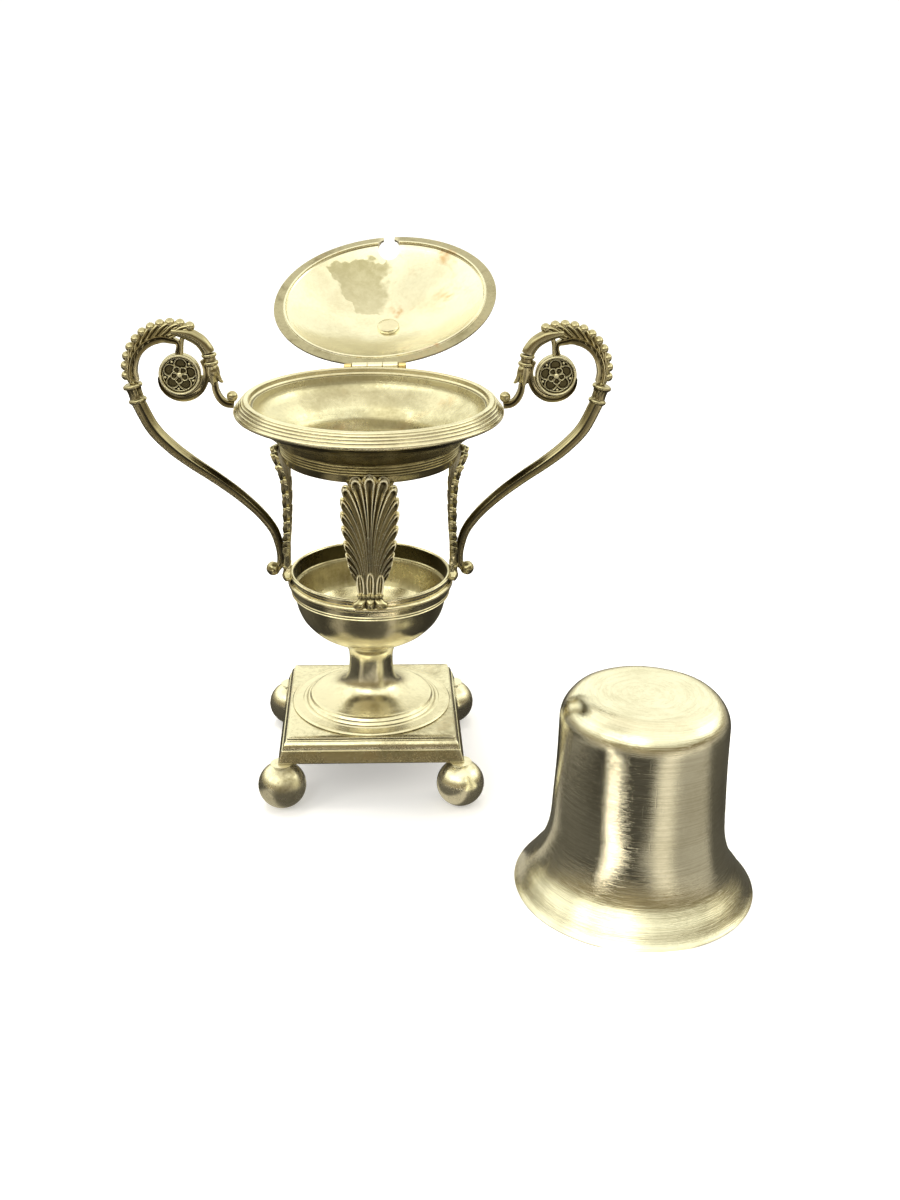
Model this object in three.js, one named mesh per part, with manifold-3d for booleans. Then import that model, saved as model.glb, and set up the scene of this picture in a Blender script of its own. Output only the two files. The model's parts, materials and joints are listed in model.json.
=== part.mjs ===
// A standing silver censer: a square plinth on ball feet, a trumpet stem, a lower bowl, four palmettes that
// carry a bell-shaped collar, two scrolled handles, a hinged lid and a loose bell-shaped cup.
// Millimetres, +Z up. The origin is the centre of the plinth's underside. The front faces -Y.

import * as THREE from 'three';
import { mergeVertices } from 'three/addons/utils/BufferGeometryUtils.js';
import Module from 'manifold-3d';

const wasm = await Module();
wasm.setup();

// ---------------------------------------------------------------- driving dimensions
const ROUND = 28;               // facets round the large turned pieces
const SMALL_ROUND = 10;         // facets round small turned pieces
const GAP = 0.3;                // clearance between neighbouring pieces
const WALL = 0.8;               // thickness of the raised silver

const FLOOR = -13.3;            // the table, below the plinth's underside
const BALL_R = 6.69;
const BALL_PAD_R = 1.6;         // worn flat under each ball foot
const BALL_SPREAD = 25;

const PLINTH_HALF = 26;
const PLINTH_TOP = 6.95;
const RECESS_HALF = 19;
const RECESS_DEPTH = 4;
const STUD_R = 1.5;

const BOWL_RIM_R = 22.4;
const BOWL_RIM_Z = 48;
const LEDGE_Z = 43.4;           // foot of the upright band inside the bowl
const STEM_TOP = 26.2;          // just under the bowl

const NECK_Z = 81.3;            // lower edge of the collar
const MOUTH_R = 32.3;
const MOUTH_Z = 97.9;           // top of the mouth ring

const HINGE_R = 37.3;           // from the vessel's axis to the hinge pin
const HINGE_Z = 97.1;
const HINGE_TURN = -4.1;        // the hinge sits a little round from dead rear, in degrees
const HINGE_LEAN = 2.24;        // and its pin rises slightly to the right
const HINGE_SHIFT = -1.1;       // along the pin
const KNUCKLE = 4.35;
const KNUCKLE_R = 1.25;
const PIN_R = 0.55;
const LID_OPEN = 157.4;
const LID_R = 34.84;
const LID_Z = 98.2;             // underside of the closed lid's flange
const LID_RISE = 11.4;

const CUP_X = 67.7;
const CUP_Y = -64.9;
const CUP_H = 54.6;

const DISC_X = 50.1;            // rosette centre, from the vessel's axis
const DISC_Z = 104.1;
const DISC_R = 5.5;
const CREST_X = 51.6;           // centre of the crest's arc
const CREST_Z = 105;
const CREST_BEADS = 11;

// ---------------------------------------------------------------- geometry helpers
const rad = THREE.MathUtils.degToRad;
const v2 = (x, y) => new THREE.Vector2(x, y);
const v3 = (x, y, z) => new THREE.Vector3(x, y, z);

function welded(geometry) {
  const bare = geometry.clone();
  bare.deleteAttribute('normal');
  bare.deleteAttribute('uv');
  return mergeVertices(bare, 1e-4);
}

function toSolid(geometry) {
  const mesh = welded(geometry);
  return new wasm.Manifold(new wasm.Mesh({
    numProp: 3,
    vertProperties: new Float32Array(mesh.attributes.position.array),
    triVerts: new Uint32Array(mesh.index.array),
  }));
}

function toGeometry(solid) {
  const mesh = solid.getMesh();
  const geometry = new THREE.BufferGeometry();
  geometry.setAttribute('position', new THREE.BufferAttribute(new Float32Array(mesh.vertProperties), 3));
  geometry.setIndex(new THREE.BufferAttribute(new Uint32Array(mesh.triVerts), 1));
  return geometry;
}

function join(first, ...others) {
  let solid = toSolid(first);
  for (const other of others) solid = solid.add(toSolid(other));
  return toGeometry(solid);
}

function cut(first, ...tools) {
  let solid = toSolid(first);
  for (const tool of tools) solid = solid.subtract(toSolid(tool));
  return toGeometry(solid);
}

// A turned piece about Z. The profile is [radius, height] pairs, outside walls listed upwards.
function turned(profile, facets = ROUND, start = 0) {
  const points = profile.map(([r, z]) => v2(r, z));
  const geometry = new THREE.LatheGeometry(points, facets, start, Math.PI * 2);
  geometry.rotateX(Math.PI / 2);
  return toGeometry(toSolid(geometry));
}

// The same profile carried round a square.
function squared(profile) {
  return turned(profile.map(([half, z]) => [half * Math.SQRT2, z]), 4, Math.PI / 4);
}

function ring(points) {
  return turned([...points, points[0]]);
}

function rod(radius, low, high, facets = SMALL_ROUND) {
  return turned([[0, low], [radius, low], [radius, high], [0, high]], facets);
}

function ball(radius, x, y, z, facets = 10) {
  const profile = [];
  const rows = Math.round(facets / 2);
  for (let i = 0; i <= rows; i += 1) {
    const angle = -Math.PI / 2 + (Math.PI * i) / rows;
    profile.push([i === 0 || i === rows ? 0 : radius * Math.cos(angle), radius * Math.sin(angle)]);
  }
  return turned(profile, facets).translate(x, y, z);
}

function circle(radius, points = 6) {
  const shape = new THREE.Shape();
  for (let i = 0; i < points; i += 1) {
    const angle = (2 * Math.PI * (i + 0.5)) / points;
    if (i === 0) shape.moveTo(radius * Math.cos(angle), radius * Math.sin(angle));
    else shape.lineTo(radius * Math.cos(angle), radius * Math.sin(angle));
  }
  shape.closePath();
  return shape;
}

// A round bar along a smooth curve in the plane of the handles, through [x, z] pairs.
function bar(pairs, radius, steps) {
  const path = new THREE.CatmullRomCurve3(pairs.map(([x, z]) => v3(x, 0, z)));
  return new THREE.ExtrudeGeometry(circle(radius), { steps, bevelEnabled: false, extrudePath: path });
}

// A flat outline in the plane of the handles, centred on it, with the given thickness.
function plate(outline, thickness) {
  const geometry = new THREE.ExtrudeGeometry(new THREE.Shape(outline), {
    depth: thickness,
    bevelEnabled: false,
  });
  geometry.translate(0, 0, -thickness / 2);
  return geometry.rotateX(Math.PI / 2);
}

function box(x0, x1, y0, y1, z0, z1) {
  const geometry = new THREE.BoxGeometry(x1 - x0, y1 - y0, z1 - z0);
  return geometry.translate((x0 + x1) / 2, (y0 + y1) / 2, (z0 + z1) / 2);
}

// ---------------------------------------------------------------- materials
const finish = {
  polished: { color: 0xd8d1bd, roughness: 0.2, metalness: 1 },
  satin: { color: 0xcdc3a6, roughness: 0.38, metalness: 1 },
  cast: { color: 0x9c8f74, roughness: 0.42, metalness: 1 },
  brass: { color: 0xb39a4e, roughness: 0.35, metalness: 1 },
};

function piece(name, geometry, look) {
  const mesh = new THREE.Mesh(geometry, new THREE.MeshStandardMaterial(finish[look]));
  mesh.name = name;
  return mesh;
}

// ---------------------------------------------------------------- base
function ballFoot() {
  const centre = FLOOR + Math.sqrt(BALL_R ** 2 - BALL_PAD_R ** 2);
  const rows = 6;
  const low = -Math.acos(BALL_PAD_R / BALL_R);
  const profile = [[0, FLOOR]];
  for (let i = 0; i < rows; i += 1) {
    const angle = low + ((Math.PI / 2 - low) * i) / rows;
    profile.push([BALL_R * Math.cos(angle), centre + BALL_R * Math.sin(angle)]);
  }
  profile.push([0, centre + BALL_R]);
  return turned(profile, 14);
}

function plinth() {
  const body = squared([
    [0, RECESS_DEPTH], [RECESS_HALF, RECESS_DEPTH], [RECESS_HALF, 0], [PLINTH_HALF, 0],
    [24.7, 4.3], [23.8, 6], [23.3, 6.2], [23.3, PLINTH_TOP], [0, PLINTH_TOP],
  ]);
  return cut(body, rod(STUD_R + GAP, 2, 9));
}

function stem() {
  const bore = STUD_R + GAP;
  const seat = PLINTH_TOP + 0.15;
  return ring([
    [bore, seat], [23, seat], [22.9, 7.6], [19.2, 8.1], [18.8, 8.6], [17.9, 8.9], [17.5, 9.4], [16.6, 9.6],
    [13, 10.4], [10.2, 11.3], [8.2, 12.7], [7.1, 14.5], [6.5, 16.8], [6.3, 19.5], [6.3, 22.5], [6.7, 24],
    [7.5, 25.3], [8.4, STEM_TOP], [bore, STEM_TOP],
  ]);
}

// A closed-ended nut: its lower face lies in the plane of the plinth's underside.
function stemNut() {
  const body = turned([[0, 0], [5, 0], [5, RECESS_DEPTH - 0.15], [0, RECESS_DEPTH - 0.15]], 6);
  return cut(body, rod(STUD_R + GAP, 1.2, 5));
}

// ---------------------------------------------------------------- bowl and palmettes
function bowl() {
  const inner = BOWL_RIM_R - WALL;
  return turned([
    [0, 26.4], [8.4, 26.5], [12, 28.4], [14.2, 29.6], [16.3, 31.1], [19, 34], [20.5, 37], [21.2, 40],
    [22, 42.2], [BOWL_RIM_R, 43], [BOWL_RIM_R, BOWL_RIM_Z], [inner, BOWL_RIM_Z], [inner, LEDGE_Z],
    [20.7, LEDGE_Z - 0.4], [19.7, 37.3], [18.3, 34.6], [15.8, 31.9], [13.6, 30.4], [11.4, 29.2], [8, 28], [0, 27.8],
  ]);
}

function bowlMoulding() {
  const seat = BOWL_RIM_R + 0.15;
  return ring([[seat, 44.3], [22.9, 44.3], [23.2, 44.7], [23.2, 45.5], [22.9, 45.9], [seat, 45.9]]);
}

// Distance of a palmette's middle surface from the vessel's axis, by height.
const palmetteLean = new THREE.SplineCurve([
  v2(48.3, 23.35), v2(53, 23.15), v2(59, 23.1), v2(68, 23.2), v2(75, 23.6), v2(79, 24.4), v2(81.5, 25.5),
  v2(84.4, 25.8),
]);

function leanAt(height) {
  const t = THREE.MathUtils.clamp((height - 48.3) / (84.4 - 48.3), 0, 1);
  let low = 0;
  let high = 1;
  for (let i = 0; i < 20; i += 1) {
    const middle = (low + high) / 2;
    if ((palmetteLean.getPoint(middle).x - 48.3) / (84.4 - 48.3) < t) low = middle;
    else high = middle;
  }
  return palmetteLean.getPoint((low + high) / 2).y;
}

// Half the outline of a palmette: a narrow base and side lobes that spread to a rounded top.
function palmetteOutline() {
  const lobes = 7;
  const half = [v2(3.4, 48.3), v2(4, 51)];
  for (let i = 0; i < lobes; i += 1) {
    const t = i / (lobes - 1);
    const tip = 5.4 + 2.2 * Math.sin((t * Math.PI) / 2);
    const height = 53.2 + 25.6 * t ** 0.9;
    half.push(v2(tip - 0.8, height - 1), v2(tip, height + 0.3), v2(tip - 0.2, height + 1.2));
  }
  half.push(v2(5.4, 81), v2(4.6, 82.6), v2(2.6, 82.8), v2(1.9, 84), v2(0.8, 84.4));
  const mirror = half.map((p) => v2(-p.x, p.y)).reverse();
  return [...half, ...mirror];
}

function palmette() {
  const thickness = 1.7;
  const leaf = new THREE.ExtrudeGeometry(new THREE.Shape(palmetteOutline()), {
    depth: thickness,
    bevelEnabled: false,
  });
  leaf.translate(0, 0, -thickness / 2).rotateX(Math.PI / 2);
  const place = leaf.attributes.position;
  for (let i = 0; i < place.count; i += 1) {
    place.setY(i, place.getY(i) - leanAt(place.getZ(i)));
  }
  const clip = box(-3.6, 3.6, -24.3, -(BOWL_RIM_R + GAP), 46.2, 49.2);
  return join(leaf, clip);
}

// ---------------------------------------------------------------- collar
function collar() {
  return ring([
    [23.6, NECK_Z], [24, 82.4], [24.3, 84.9], [25.1, 86], [26.2, 87.8], [28.2, 89.6], [30.5, 91.2],
    [31.6, 92.8], [31.7, 96], [31, 96], [30.7, 93.5], [29.6, 91.9], [27.5, 90.4], [25.4, 88.4],
    [24.3, 86.4], [23.5, 84.9], [23.2, 82.6], [22.9, NECK_Z],
  ]);
}

function collarRing() {
  return ring([
    [32, 93.2], [35, 93.6], [36.1, 94.2], [36.35, 94.9], [36.1, 95.6], [35.2, 95.9], [35.1, 96.7], [34.3, 96.9],
    [34.2, 97.6], [33.4, MOUTH_Z], [MOUTH_R, MOUTH_Z], [MOUTH_R, 96.4], [32, 96.1],
  ]);
}

// ---------------------------------------------------------------- handles (drawn on +X, turned for -X)
function handleStem() {
  const stroke = bar([
    [61.2, 95.4], [58.2, 89.3], [53.4, 83.9], [48, 79.5], [42.1, 75.3], [36, 70.5], [30.6, 65.3], [26.9, 59.6],
    [26.2, 57.4],
  ], 1.5, 20);
  const root = bar([[26.9, 59.6], [25.6, 55.4], [25.3, 52.2], [25.6, 49.4], [26.6, 48.3]], 1, 8);
  return join(stroke, root, ball(2.05, 27.4, 0, 48.4));
}

// A turned piece with its own axis from one point of the handle's plane to another.
function along(profile, x0, z0, x1, z1, facets = SMALL_ROUND) {
  const direction = v3(x1 - x0, 0, z1 - z0).normalize();
  const geometry = turned(profile, facets);
  geometry.applyQuaternion(new THREE.Quaternion().setFromUnitVectors(v3(0, 0, 1), direction));
  return geometry.translate(x0, 0, z0);
}

function ferrule() {
  const profile = [
    [0, 0], [2, 0], [2.4, 0.3], [2.4, 1.1], [1.95, 1.4], [1.9, 2.9], [2.15, 4.1], [2.6, 4.4], [2.6, 5.3],
    [2.1, 5.6], [0, 5.6],
  ];
  return along(profile, 61.5, 96.2, 63, 101.8);
}

// The crest: ball-tipped leaves fanned along an arc, on the back of a plain arch.
function arch() {
  const inner = 8.9;
  const step = rad(11.8);
  const first = rad(-6);
  const outline = [];
  for (let i = 0; i < CREST_BEADS; i += 1) {
    const angle = first + step * i;
    for (const [turn, reach] of [[-0.42, 12.5], [-0.22, 13.9], [0.22, 13.9], [0.42, 12.5]]) {
      const at = angle + turn * step;
      outline.push(v2(CREST_X + reach * Math.cos(at), CREST_Z + reach * Math.sin(at)));
    }
  }
  const last = first + step * (CREST_BEADS - 1);
  const back = 12;
  for (let i = 0; i <= back; i += 1) {
    const angle = last + ((first - 0.05 - last) * i) / back;
    outline.push(v2(CREST_X + inner * Math.cos(angle), CREST_Z + inner * Math.sin(angle)));
  }
  const crest = plate(outline, 3.6);
  const run = bar([[50.5, 115.4], [47, 114.7], [43.9, 113], [42.5, 111], [42.35, 110.2]], 1.75, 10);
  return join(crest, run);
}

function calyx() {
  const profile = [
    [0, 0], [2.2, 0], [2.75, 0.6], [2.1, 2.4], [1.6, 4.8], [2, 5.1], [2, 5.9], [1.6, 6.2], [1.6, 7], [1.9, 7.3],
    [1.9, 8.1], [0, 8.2],
  ];
  return along(profile, 41.2, 101.7, 42.3, 109.8, 12);
}

function hook() {
  const stroke = bar([[40.9, 101.2], [40.6, 98.9], [39.4, 96.9], [38, 96], [36.95, 95.9]], 1, 10);
  return join(stroke, ball(1.55, 36.5, 0, 98));
}

function volute() {
  const pairs = [];
  const steps = 9;
  for (let i = 0; i <= steps; i += 1) {
    const t = i / steps;
    const angle = rad(214 + 110 * t);
    const reach = DISC_R + GAP + 0.95 + 0.4 * (1 - t);
    pairs.push([DISC_X + reach * Math.cos(angle), DISC_Z + reach * Math.sin(angle)]);
  }
  return toGeometry(toSolid(bar(pairs, 0.75, 14)));
}

function rosette() {
  const profile = [
    [0, -1.3], [DISC_R - 0.4, -1.3], [DISC_R, -0.9], [DISC_R, 0.9], [DISC_R - 0.4, 1.3], [DISC_R - 1.2, 1.3],
    [DISC_R - 1.5, 0.9], [3.4, 0.9], [2.6, 1.3], [1.2, 1.2], [0.8, 1.7], [0, 1.8],
  ];
  return turned(profile, 16).rotateX(Math.PI / 2).translate(DISC_X, 0, DISC_Z);
}

// ---------------------------------------------------------------- hinge, lid and cup
// Everything in the hinge's own frame: X along the pin, Y away from the vessel, Z up, origin on the pin.
function knuckle(x0, x1) {
  const tube = cut(rod(KNUCKLE_R, x0, x1), rod(PIN_R + GAP, x0 - 1, x1 + 1));
  return tube.rotateY(Math.PI / 2);
}

function hingeLeafCollar() {
  const half = KNUCKLE / 2 + 0.15;
  const end = half + KNUCKLE;
  const low = -KNUCKLE_R - 2.6;
  const bridge = box(-end, end, -0.55, 0.35, low, -KNUCKLE_R - 0.75);
  const ears = [1, -1].map((side) => {
    const near = side > 0 ? half : -end;
    const ear = box(near, near + KNUCKLE, -0.55, 0.35, low, -PIN_R - GAP - 0.1);
    return join(knuckle(near, near + KNUCKLE), ear);
  });
  return join(bridge, ...ears);
}

function hingePin() {
  const end = 1.5 * KNUCKLE + 0.35;
  const head = end + 2.2;
  return turned([
    [0, -head], [0.95, -head], [0.95, -end], [PIN_R, -end], [PIN_R, end], [0.95, end], [0.95, head], [0, head],
  ], 12).rotateY(Math.PI / 2);
}

function hingeLeafLid() {
  const half = KNUCKLE / 2;
  const flange = LID_Z - HINGE_Z;
  const tongue = box(-half, half, LID_R + GAP + 0.1 - HINGE_R, -0.5, flange - 0.3, flange + 0.6);
  return join(knuckle(-half, half), tongue);
}

// The closed lid, about the vessel's axis.
function lid() {
  const skin = 0.8;
  const dome = [];
  const under = [];
  const steps = 7;
  for (let i = 0; i <= steps; i += 1) {
    const t = i / steps;
    const r = 31.2 * (1 - t);
    const z = LID_Z + LID_RISE * Math.cos(((1 - t) * Math.PI) / 2) ** 0.85;
    dome.push([r, z + skin]);
    under.push([Math.max(r - 0.4, 0), z]);
  }
  const shell = turned([
    ...under.reverse(), [31.1, LID_Z - 0.5], [31.7, LID_Z - 0.5], [31.8, LID_Z], [LID_R, LID_Z],
    [LID_R, LID_Z + 0.7], ...dome,
  ]);
  return cut(shell, keyhole(), rod(1.3, LID_Z, LID_Z + 20, 12));
}

// The spoon slot: a narrow throat at the rim that opens into a round hole.
function keyhole() {
  const eye = 3.55;
  const centre = LID_R - 4.9;
  const throat = 1.75;
  const outline = [v2(throat, LID_R + 2), v2(-throat, LID_R + 2)];
  const open = Math.asin(throat / eye);
  const steps = 14;
  for (let i = 0; i <= steps; i += 1) {
    const angle = Math.PI / 2 + open + ((2 * Math.PI - 2 * open) * i) / steps;
    outline.push(v2(eye * Math.cos(angle), centre + eye * Math.sin(angle)));
  }
  const geometry = new THREE.ExtrudeGeometry(new THREE.Shape(outline), { depth: 30, bevelEnabled: false });
  return geometry.rotateZ(Math.PI).translate(0, 0, LID_Z - 10);
}

function finial() {
  const top = LID_Z + LID_RISE + 0.8 + 0.15;
  return turned([
    [0, top - 3.2], [1, top - 3.2], [1, top], [4.2, top + 0.1], [4.2, top + 0.9], [2.2, top + 1.9], [1.4, top + 4],
    [1.5, top + 5], [2.9, top + 5.6], [2.9, top + 6.5], [2.2, top + 7.2], [3.9, top + 9.6], [4.4, top + 12],
    [3.9, top + 14.6], [2.4, top + 17.2], [1, top + 18.8], [0, top + 19.6],
  ], 12);
}

function finialNut() {
  const face = LID_Z + LID_RISE - 0.25;
  const body = turned([[0, face - 1.1], [3.5, face - 1.1], [3.5, face], [0, face]], 12);
  return cut(body, rod(1.3, face - 3, face + 1, 12));
}

// The cup stands mouth down: profile by height above the table.
function cup() {
  const shoulder = 7.6;
  const outer = [
    [30.8, 0], [28, 4], [24.6, 9], [23.1, 13], [22.1, 18], [21.65, 26], [21.2, 36], [21, CUP_H - shoulder],
  ];
  const inner = outer.slice(1).map(([r, z]) => [r - WALL, z]);
  const corner = (radius, middle) => [30, 60, 90].map((degrees) => [
    middle + radius * Math.cos(rad(degrees)), CUP_H - shoulder + radius * Math.sin(rad(degrees)),
  ]);
  const middle = 21 - shoulder;
  return turned([
    [0, CUP_H - WALL], ...corner(shoulder - WALL, middle).reverse(), ...inner.reverse(), [30, 0], ...outer,
    ...corner(shoulder, middle), [0, CUP_H],
  ]);
}

// ---------------------------------------------------------------- assembly
const censer = new THREE.Group();

for (const [name, x, y] of [
  ['front_left', -1, -1], ['front_right', 1, -1], ['rear_left', -1, 1], ['rear_right', 1, 1],
]) {
  const foot = piece(`foot_ball_${name}`, ballFoot(), 'polished');
  foot.position.set(x * BALL_SPREAD, y * BALL_SPREAD, 0);
  censer.add(foot);
}

censer.add(piece('plinth', plinth(), 'satin'));
censer.add(piece('stem_nut', stemNut(), 'brass'));
censer.add(piece('stem_stud', rod(STUD_R, 1.5, STEM_TOP - 0.1, 10), 'brass'));
censer.add(piece('stem', stem(), 'satin'));
censer.add(piece('bowl', bowl(), 'satin'));
censer.add(piece('bowl_moulding', bowlMoulding(), 'satin'));

for (const [name, degrees] of [['front', 0], ['right', 90], ['rear', 180], ['left', 270]]) {
  const leaf = piece(`palmette_${name}`, palmette(), 'cast');
  leaf.rotation.z = rad(degrees);
  censer.add(leaf);
}

censer.add(piece('collar', collar(), 'satin'));
censer.add(piece('collar_ring', collarRing(), 'satin'));

for (const [side, degrees] of [['right', 0], ['left', 180]]) {
  const handle = new THREE.Group();
  handle.rotation.z = rad(degrees);
  handle.add(piece(`handle_stem_${side}`, handleStem(), 'cast'));
  handle.add(piece(`ferrule_${side}`, ferrule(), 'cast'));
  handle.add(piece(`arch_${side}`, arch(), 'cast'));
  handle.add(piece(`calyx_${side}`, calyx(), 'cast'));
  handle.add(piece(`hook_${side}`, hook(), 'cast'));
  handle.add(piece(`volute_${side}`, volute(), 'cast'));
  handle.add(piece(`rosette_${side}`, rosette(), 'cast'));
  censer.add(handle);
}

// The hinge: its origin is on the pin, X runs along the pin.
const hingeSite = new THREE.Group();
hingeSite.rotation.z = rad(HINGE_TURN);
const hinge = new THREE.Group();
hinge.position.set(0, HINGE_R, HINGE_Z);
hinge.rotation.y = rad(-HINGE_LEAN);
hingeSite.add(hinge);
censer.add(hingeSite);

const fixedHalf = new THREE.Group();
fixedHalf.position.x = HINGE_SHIFT;
fixedHalf.add(piece('hinge_leaf_collar', hingeLeafCollar(), 'satin'));
fixedHalf.add(piece('hinge_pin', hingePin(), 'brass'));
hinge.add(fixedHalf);

// The lid swings about the pin, and is drawn closed and level inside the swinging group.
const swing = new THREE.Group();
swing.rotation.x = rad(-LID_OPEN);
hinge.add(swing);
const lidLeaf = piece('hinge_leaf_lid', hingeLeafLid(), 'satin');
lidLeaf.position.x = HINGE_SHIFT;
swing.add(lidLeaf);

const level = new THREE.Group();
level.rotation.y = rad(HINGE_LEAN);
const lidSite = new THREE.Group();
lidSite.position.set(0, -HINGE_R, -HINGE_Z);
lidSite.add(piece('lid', lid(), 'polished'));
lidSite.add(piece('finial', finial(), 'cast'));
lidSite.add(piece('finial_nut', finialNut(), 'satin'));
level.add(lidSite);
swing.add(level);

const loose = piece('cup', cup(), 'polished');
loose.position.set(CUP_X, CUP_Y, FLOOR);
censer.add(loose);

export default censer;
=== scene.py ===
# Looks of the standing silver censer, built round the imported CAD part.
# Shapes are worked out in millimetres and stored in metres. +Z is up and the front faces -Y. Turned shapes are
# drawn about the Z axis, and the handles in the XZ plane on the side of +X.

import json
from math import acos, asin, atan2, cos, pi, radians, sin, sqrt, tan

import bpy
import numpy as np
from mathutils import Matrix, Vector


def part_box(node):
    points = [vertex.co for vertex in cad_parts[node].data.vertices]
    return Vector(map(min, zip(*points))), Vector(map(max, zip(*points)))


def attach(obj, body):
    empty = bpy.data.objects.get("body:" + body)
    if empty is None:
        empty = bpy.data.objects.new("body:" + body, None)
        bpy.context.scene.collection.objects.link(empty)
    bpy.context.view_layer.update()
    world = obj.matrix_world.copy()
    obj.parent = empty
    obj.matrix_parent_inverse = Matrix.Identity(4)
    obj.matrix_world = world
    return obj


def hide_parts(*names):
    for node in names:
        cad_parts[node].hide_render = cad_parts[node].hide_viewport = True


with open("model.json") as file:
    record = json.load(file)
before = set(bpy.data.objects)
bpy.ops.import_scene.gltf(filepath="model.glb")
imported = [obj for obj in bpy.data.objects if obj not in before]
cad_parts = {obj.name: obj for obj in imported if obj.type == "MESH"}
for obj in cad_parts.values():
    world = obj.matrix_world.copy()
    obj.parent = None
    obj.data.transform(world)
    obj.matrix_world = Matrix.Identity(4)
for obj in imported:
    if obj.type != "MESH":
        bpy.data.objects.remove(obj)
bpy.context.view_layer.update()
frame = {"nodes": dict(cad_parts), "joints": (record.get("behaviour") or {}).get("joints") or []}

MM = 0.001


def box_mm(node):
    low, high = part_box(node)
    return np.array(low) / MM, np.array(high) / MM


# ---- places taken from the frame
floor_z = box_mm("cup")[0][2]
plinth_high = box_mm("plinth")[1]
neck_z = box_mm("collar")[0][2]
mouth_z = box_mm("collar_ring")[1][2]
cup_low, cup_high = box_mm("cup")
cup_centre = (cup_low + cup_high) / 2
hinge = next(j for j in frame["joints"] if j["name"] == "lid_hinge")


# ---- curves
def steps(count):
    return np.linspace(0, 1, count)


def circle(count):
    """Evenly spaced angles, once round."""
    return np.linspace(0, 2 * pi, count, endpoint=False)


def from_axis(points):
    return np.hypot(points[:, 0], points[:, 1])


def round_axis(points):
    return np.arctan2(points[:, 1], points[:, 0])


def spline(points, count):
    """A smooth curve through the points, as evenly spaced ones."""
    p = np.asarray(points, float)
    q = np.vstack([2 * p[0] - p[1], p, 2 * p[-1] - p[-2]])
    dense = []
    for a, b, c, d in zip(q, q[1:], q[2:], q[3:]):
        for t in np.linspace(0, 1, 12, endpoint=False):
            dense.append(0.5 * (2 * b + (c - a) * t + (2 * a - 5 * b + 4 * c - d) * t ** 2
                                + (3 * b - a - 3 * c + d) * t ** 3))
    dense = np.array(dense + [p[-1]])
    run = np.concatenate([[0], np.cumsum(np.linalg.norm(np.diff(dense, axis=0), axis=1))])
    at = np.linspace(0, run[-1], count)
    return np.stack([np.interp(at, run, dense[:, i]) for i in range(dense.shape[1])], axis=1)


def eased(points, radius, loop):
    """The polyline with its corners rounded."""
    p = [np.asarray(x, float) for x in points]
    out = []
    for i, here in enumerate(p):
        if not loop and i in (0, len(p) - 1):
            out.append(here)
            continue
        a, b = p[i - 1] - here, p[(i + 1) % len(p)] - here
        la, lb = np.linalg.norm(a), np.linalg.norm(b)
        turn = pi - acos(max(-1.0, min(1.0, float(a @ b) / (la * lb))))
        if turn < radians(22):
            out.append(here)
            continue
        cut = min(radius * tan(turn / 2), 0.42 * la, 0.42 * lb)
        start, end = here + a / la * cut, here + b / lb * cut
        for t in (0, 0.25, 0.5, 0.75, 1):
            out.append((1 - t) ** 2 * start + 2 * t * (1 - t) * here + t ** 2 * end)
    return np.array(out)


# ---- closed shells: (points, faces)
def outward(points, faces):
    """The shell with its faces turned so that they look out."""
    points = np.asarray(points, float)
    six = 0.0
    for size in (3, 4):
        f = np.array([x for x in faces if len(x) == size], int).reshape(-1, size)
        for k in range(1, size - 1):
            a, b, c = points[f[:, 0]], points[f[:, k]], points[f[:, k + 1]]
            six += float((a * np.cross(b, c)).sum())
    if six < 0:
        faces = [tuple(reversed(x)) for x in faces]
    return points, [tuple(x) for x in faces]


def merged(*shells):
    points, faces, start = [], [], 0
    for p, f in shells:
        points.append(p)
        faces += [tuple(i + start for i in face) for face in f]
        start += len(p)
    return np.vstack(points), faces


def placed(shell, matrix):
    m = np.array(matrix)
    return shell[0] @ m[:3, :3].T + m[:3, 3], shell[1]


def turned(degrees, axis="Z"):
    return Matrix.Rotation(radians(degrees), 4, axis)


def moved(shell, x=0, y=0, z=0):
    return shell[0] + np.array([x, y, z], float), shell[1]


def loft(rings, loop=False, ends=None):
    """A shell through closed rings of points. Unless it closes on itself, each end gets a middle point."""
    rings = np.asarray(rings, float)
    rows, around, _ = rings.shape
    points = rings.reshape(-1, 3)
    index = np.arange(rows * around).reshape(rows, around)
    faces = []
    for i in range(rows if loop else rows - 1):
        a, b = index[i], index[(i + 1) % rows]
        faces += np.stack([a, np.roll(a, -1), np.roll(b, -1), b], axis=1).tolist()
    if not loop:
        first, last = ends if ends is not None else (rings[0].mean(0), rings[-1].mean(0))
        points = np.vstack([points, first, last])
        n = rows * around
        faces += [(n, b, a) for a, b in zip(index[0], np.roll(index[0], -1))]
        faces += [(n + 1, a, b) for a, b in zip(index[-1], np.roll(index[-1], -1))]
    return outward(points, faces)


def lathe(outline, around=144, loop=True, radius=0.15):
    """A turned piece about Z from [radius, height] pairs. An open outline starts and ends on the axis."""
    outline = eased(outline, radius, loop)
    angle = circle(around)
    body = outline if loop else outline[1:-1]
    rings = np.stack([np.outer(body[:, 0], np.cos(angle)), np.outer(body[:, 0], np.sin(angle)),
        np.repeat(body[:, 1:2], around, axis=1)], axis=2)
    if loop:
        return loft(rings, loop=True)
    return loft(rings, ends=((0, 0, outline[0][1]), (0, 0, outline[-1][1])))


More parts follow.
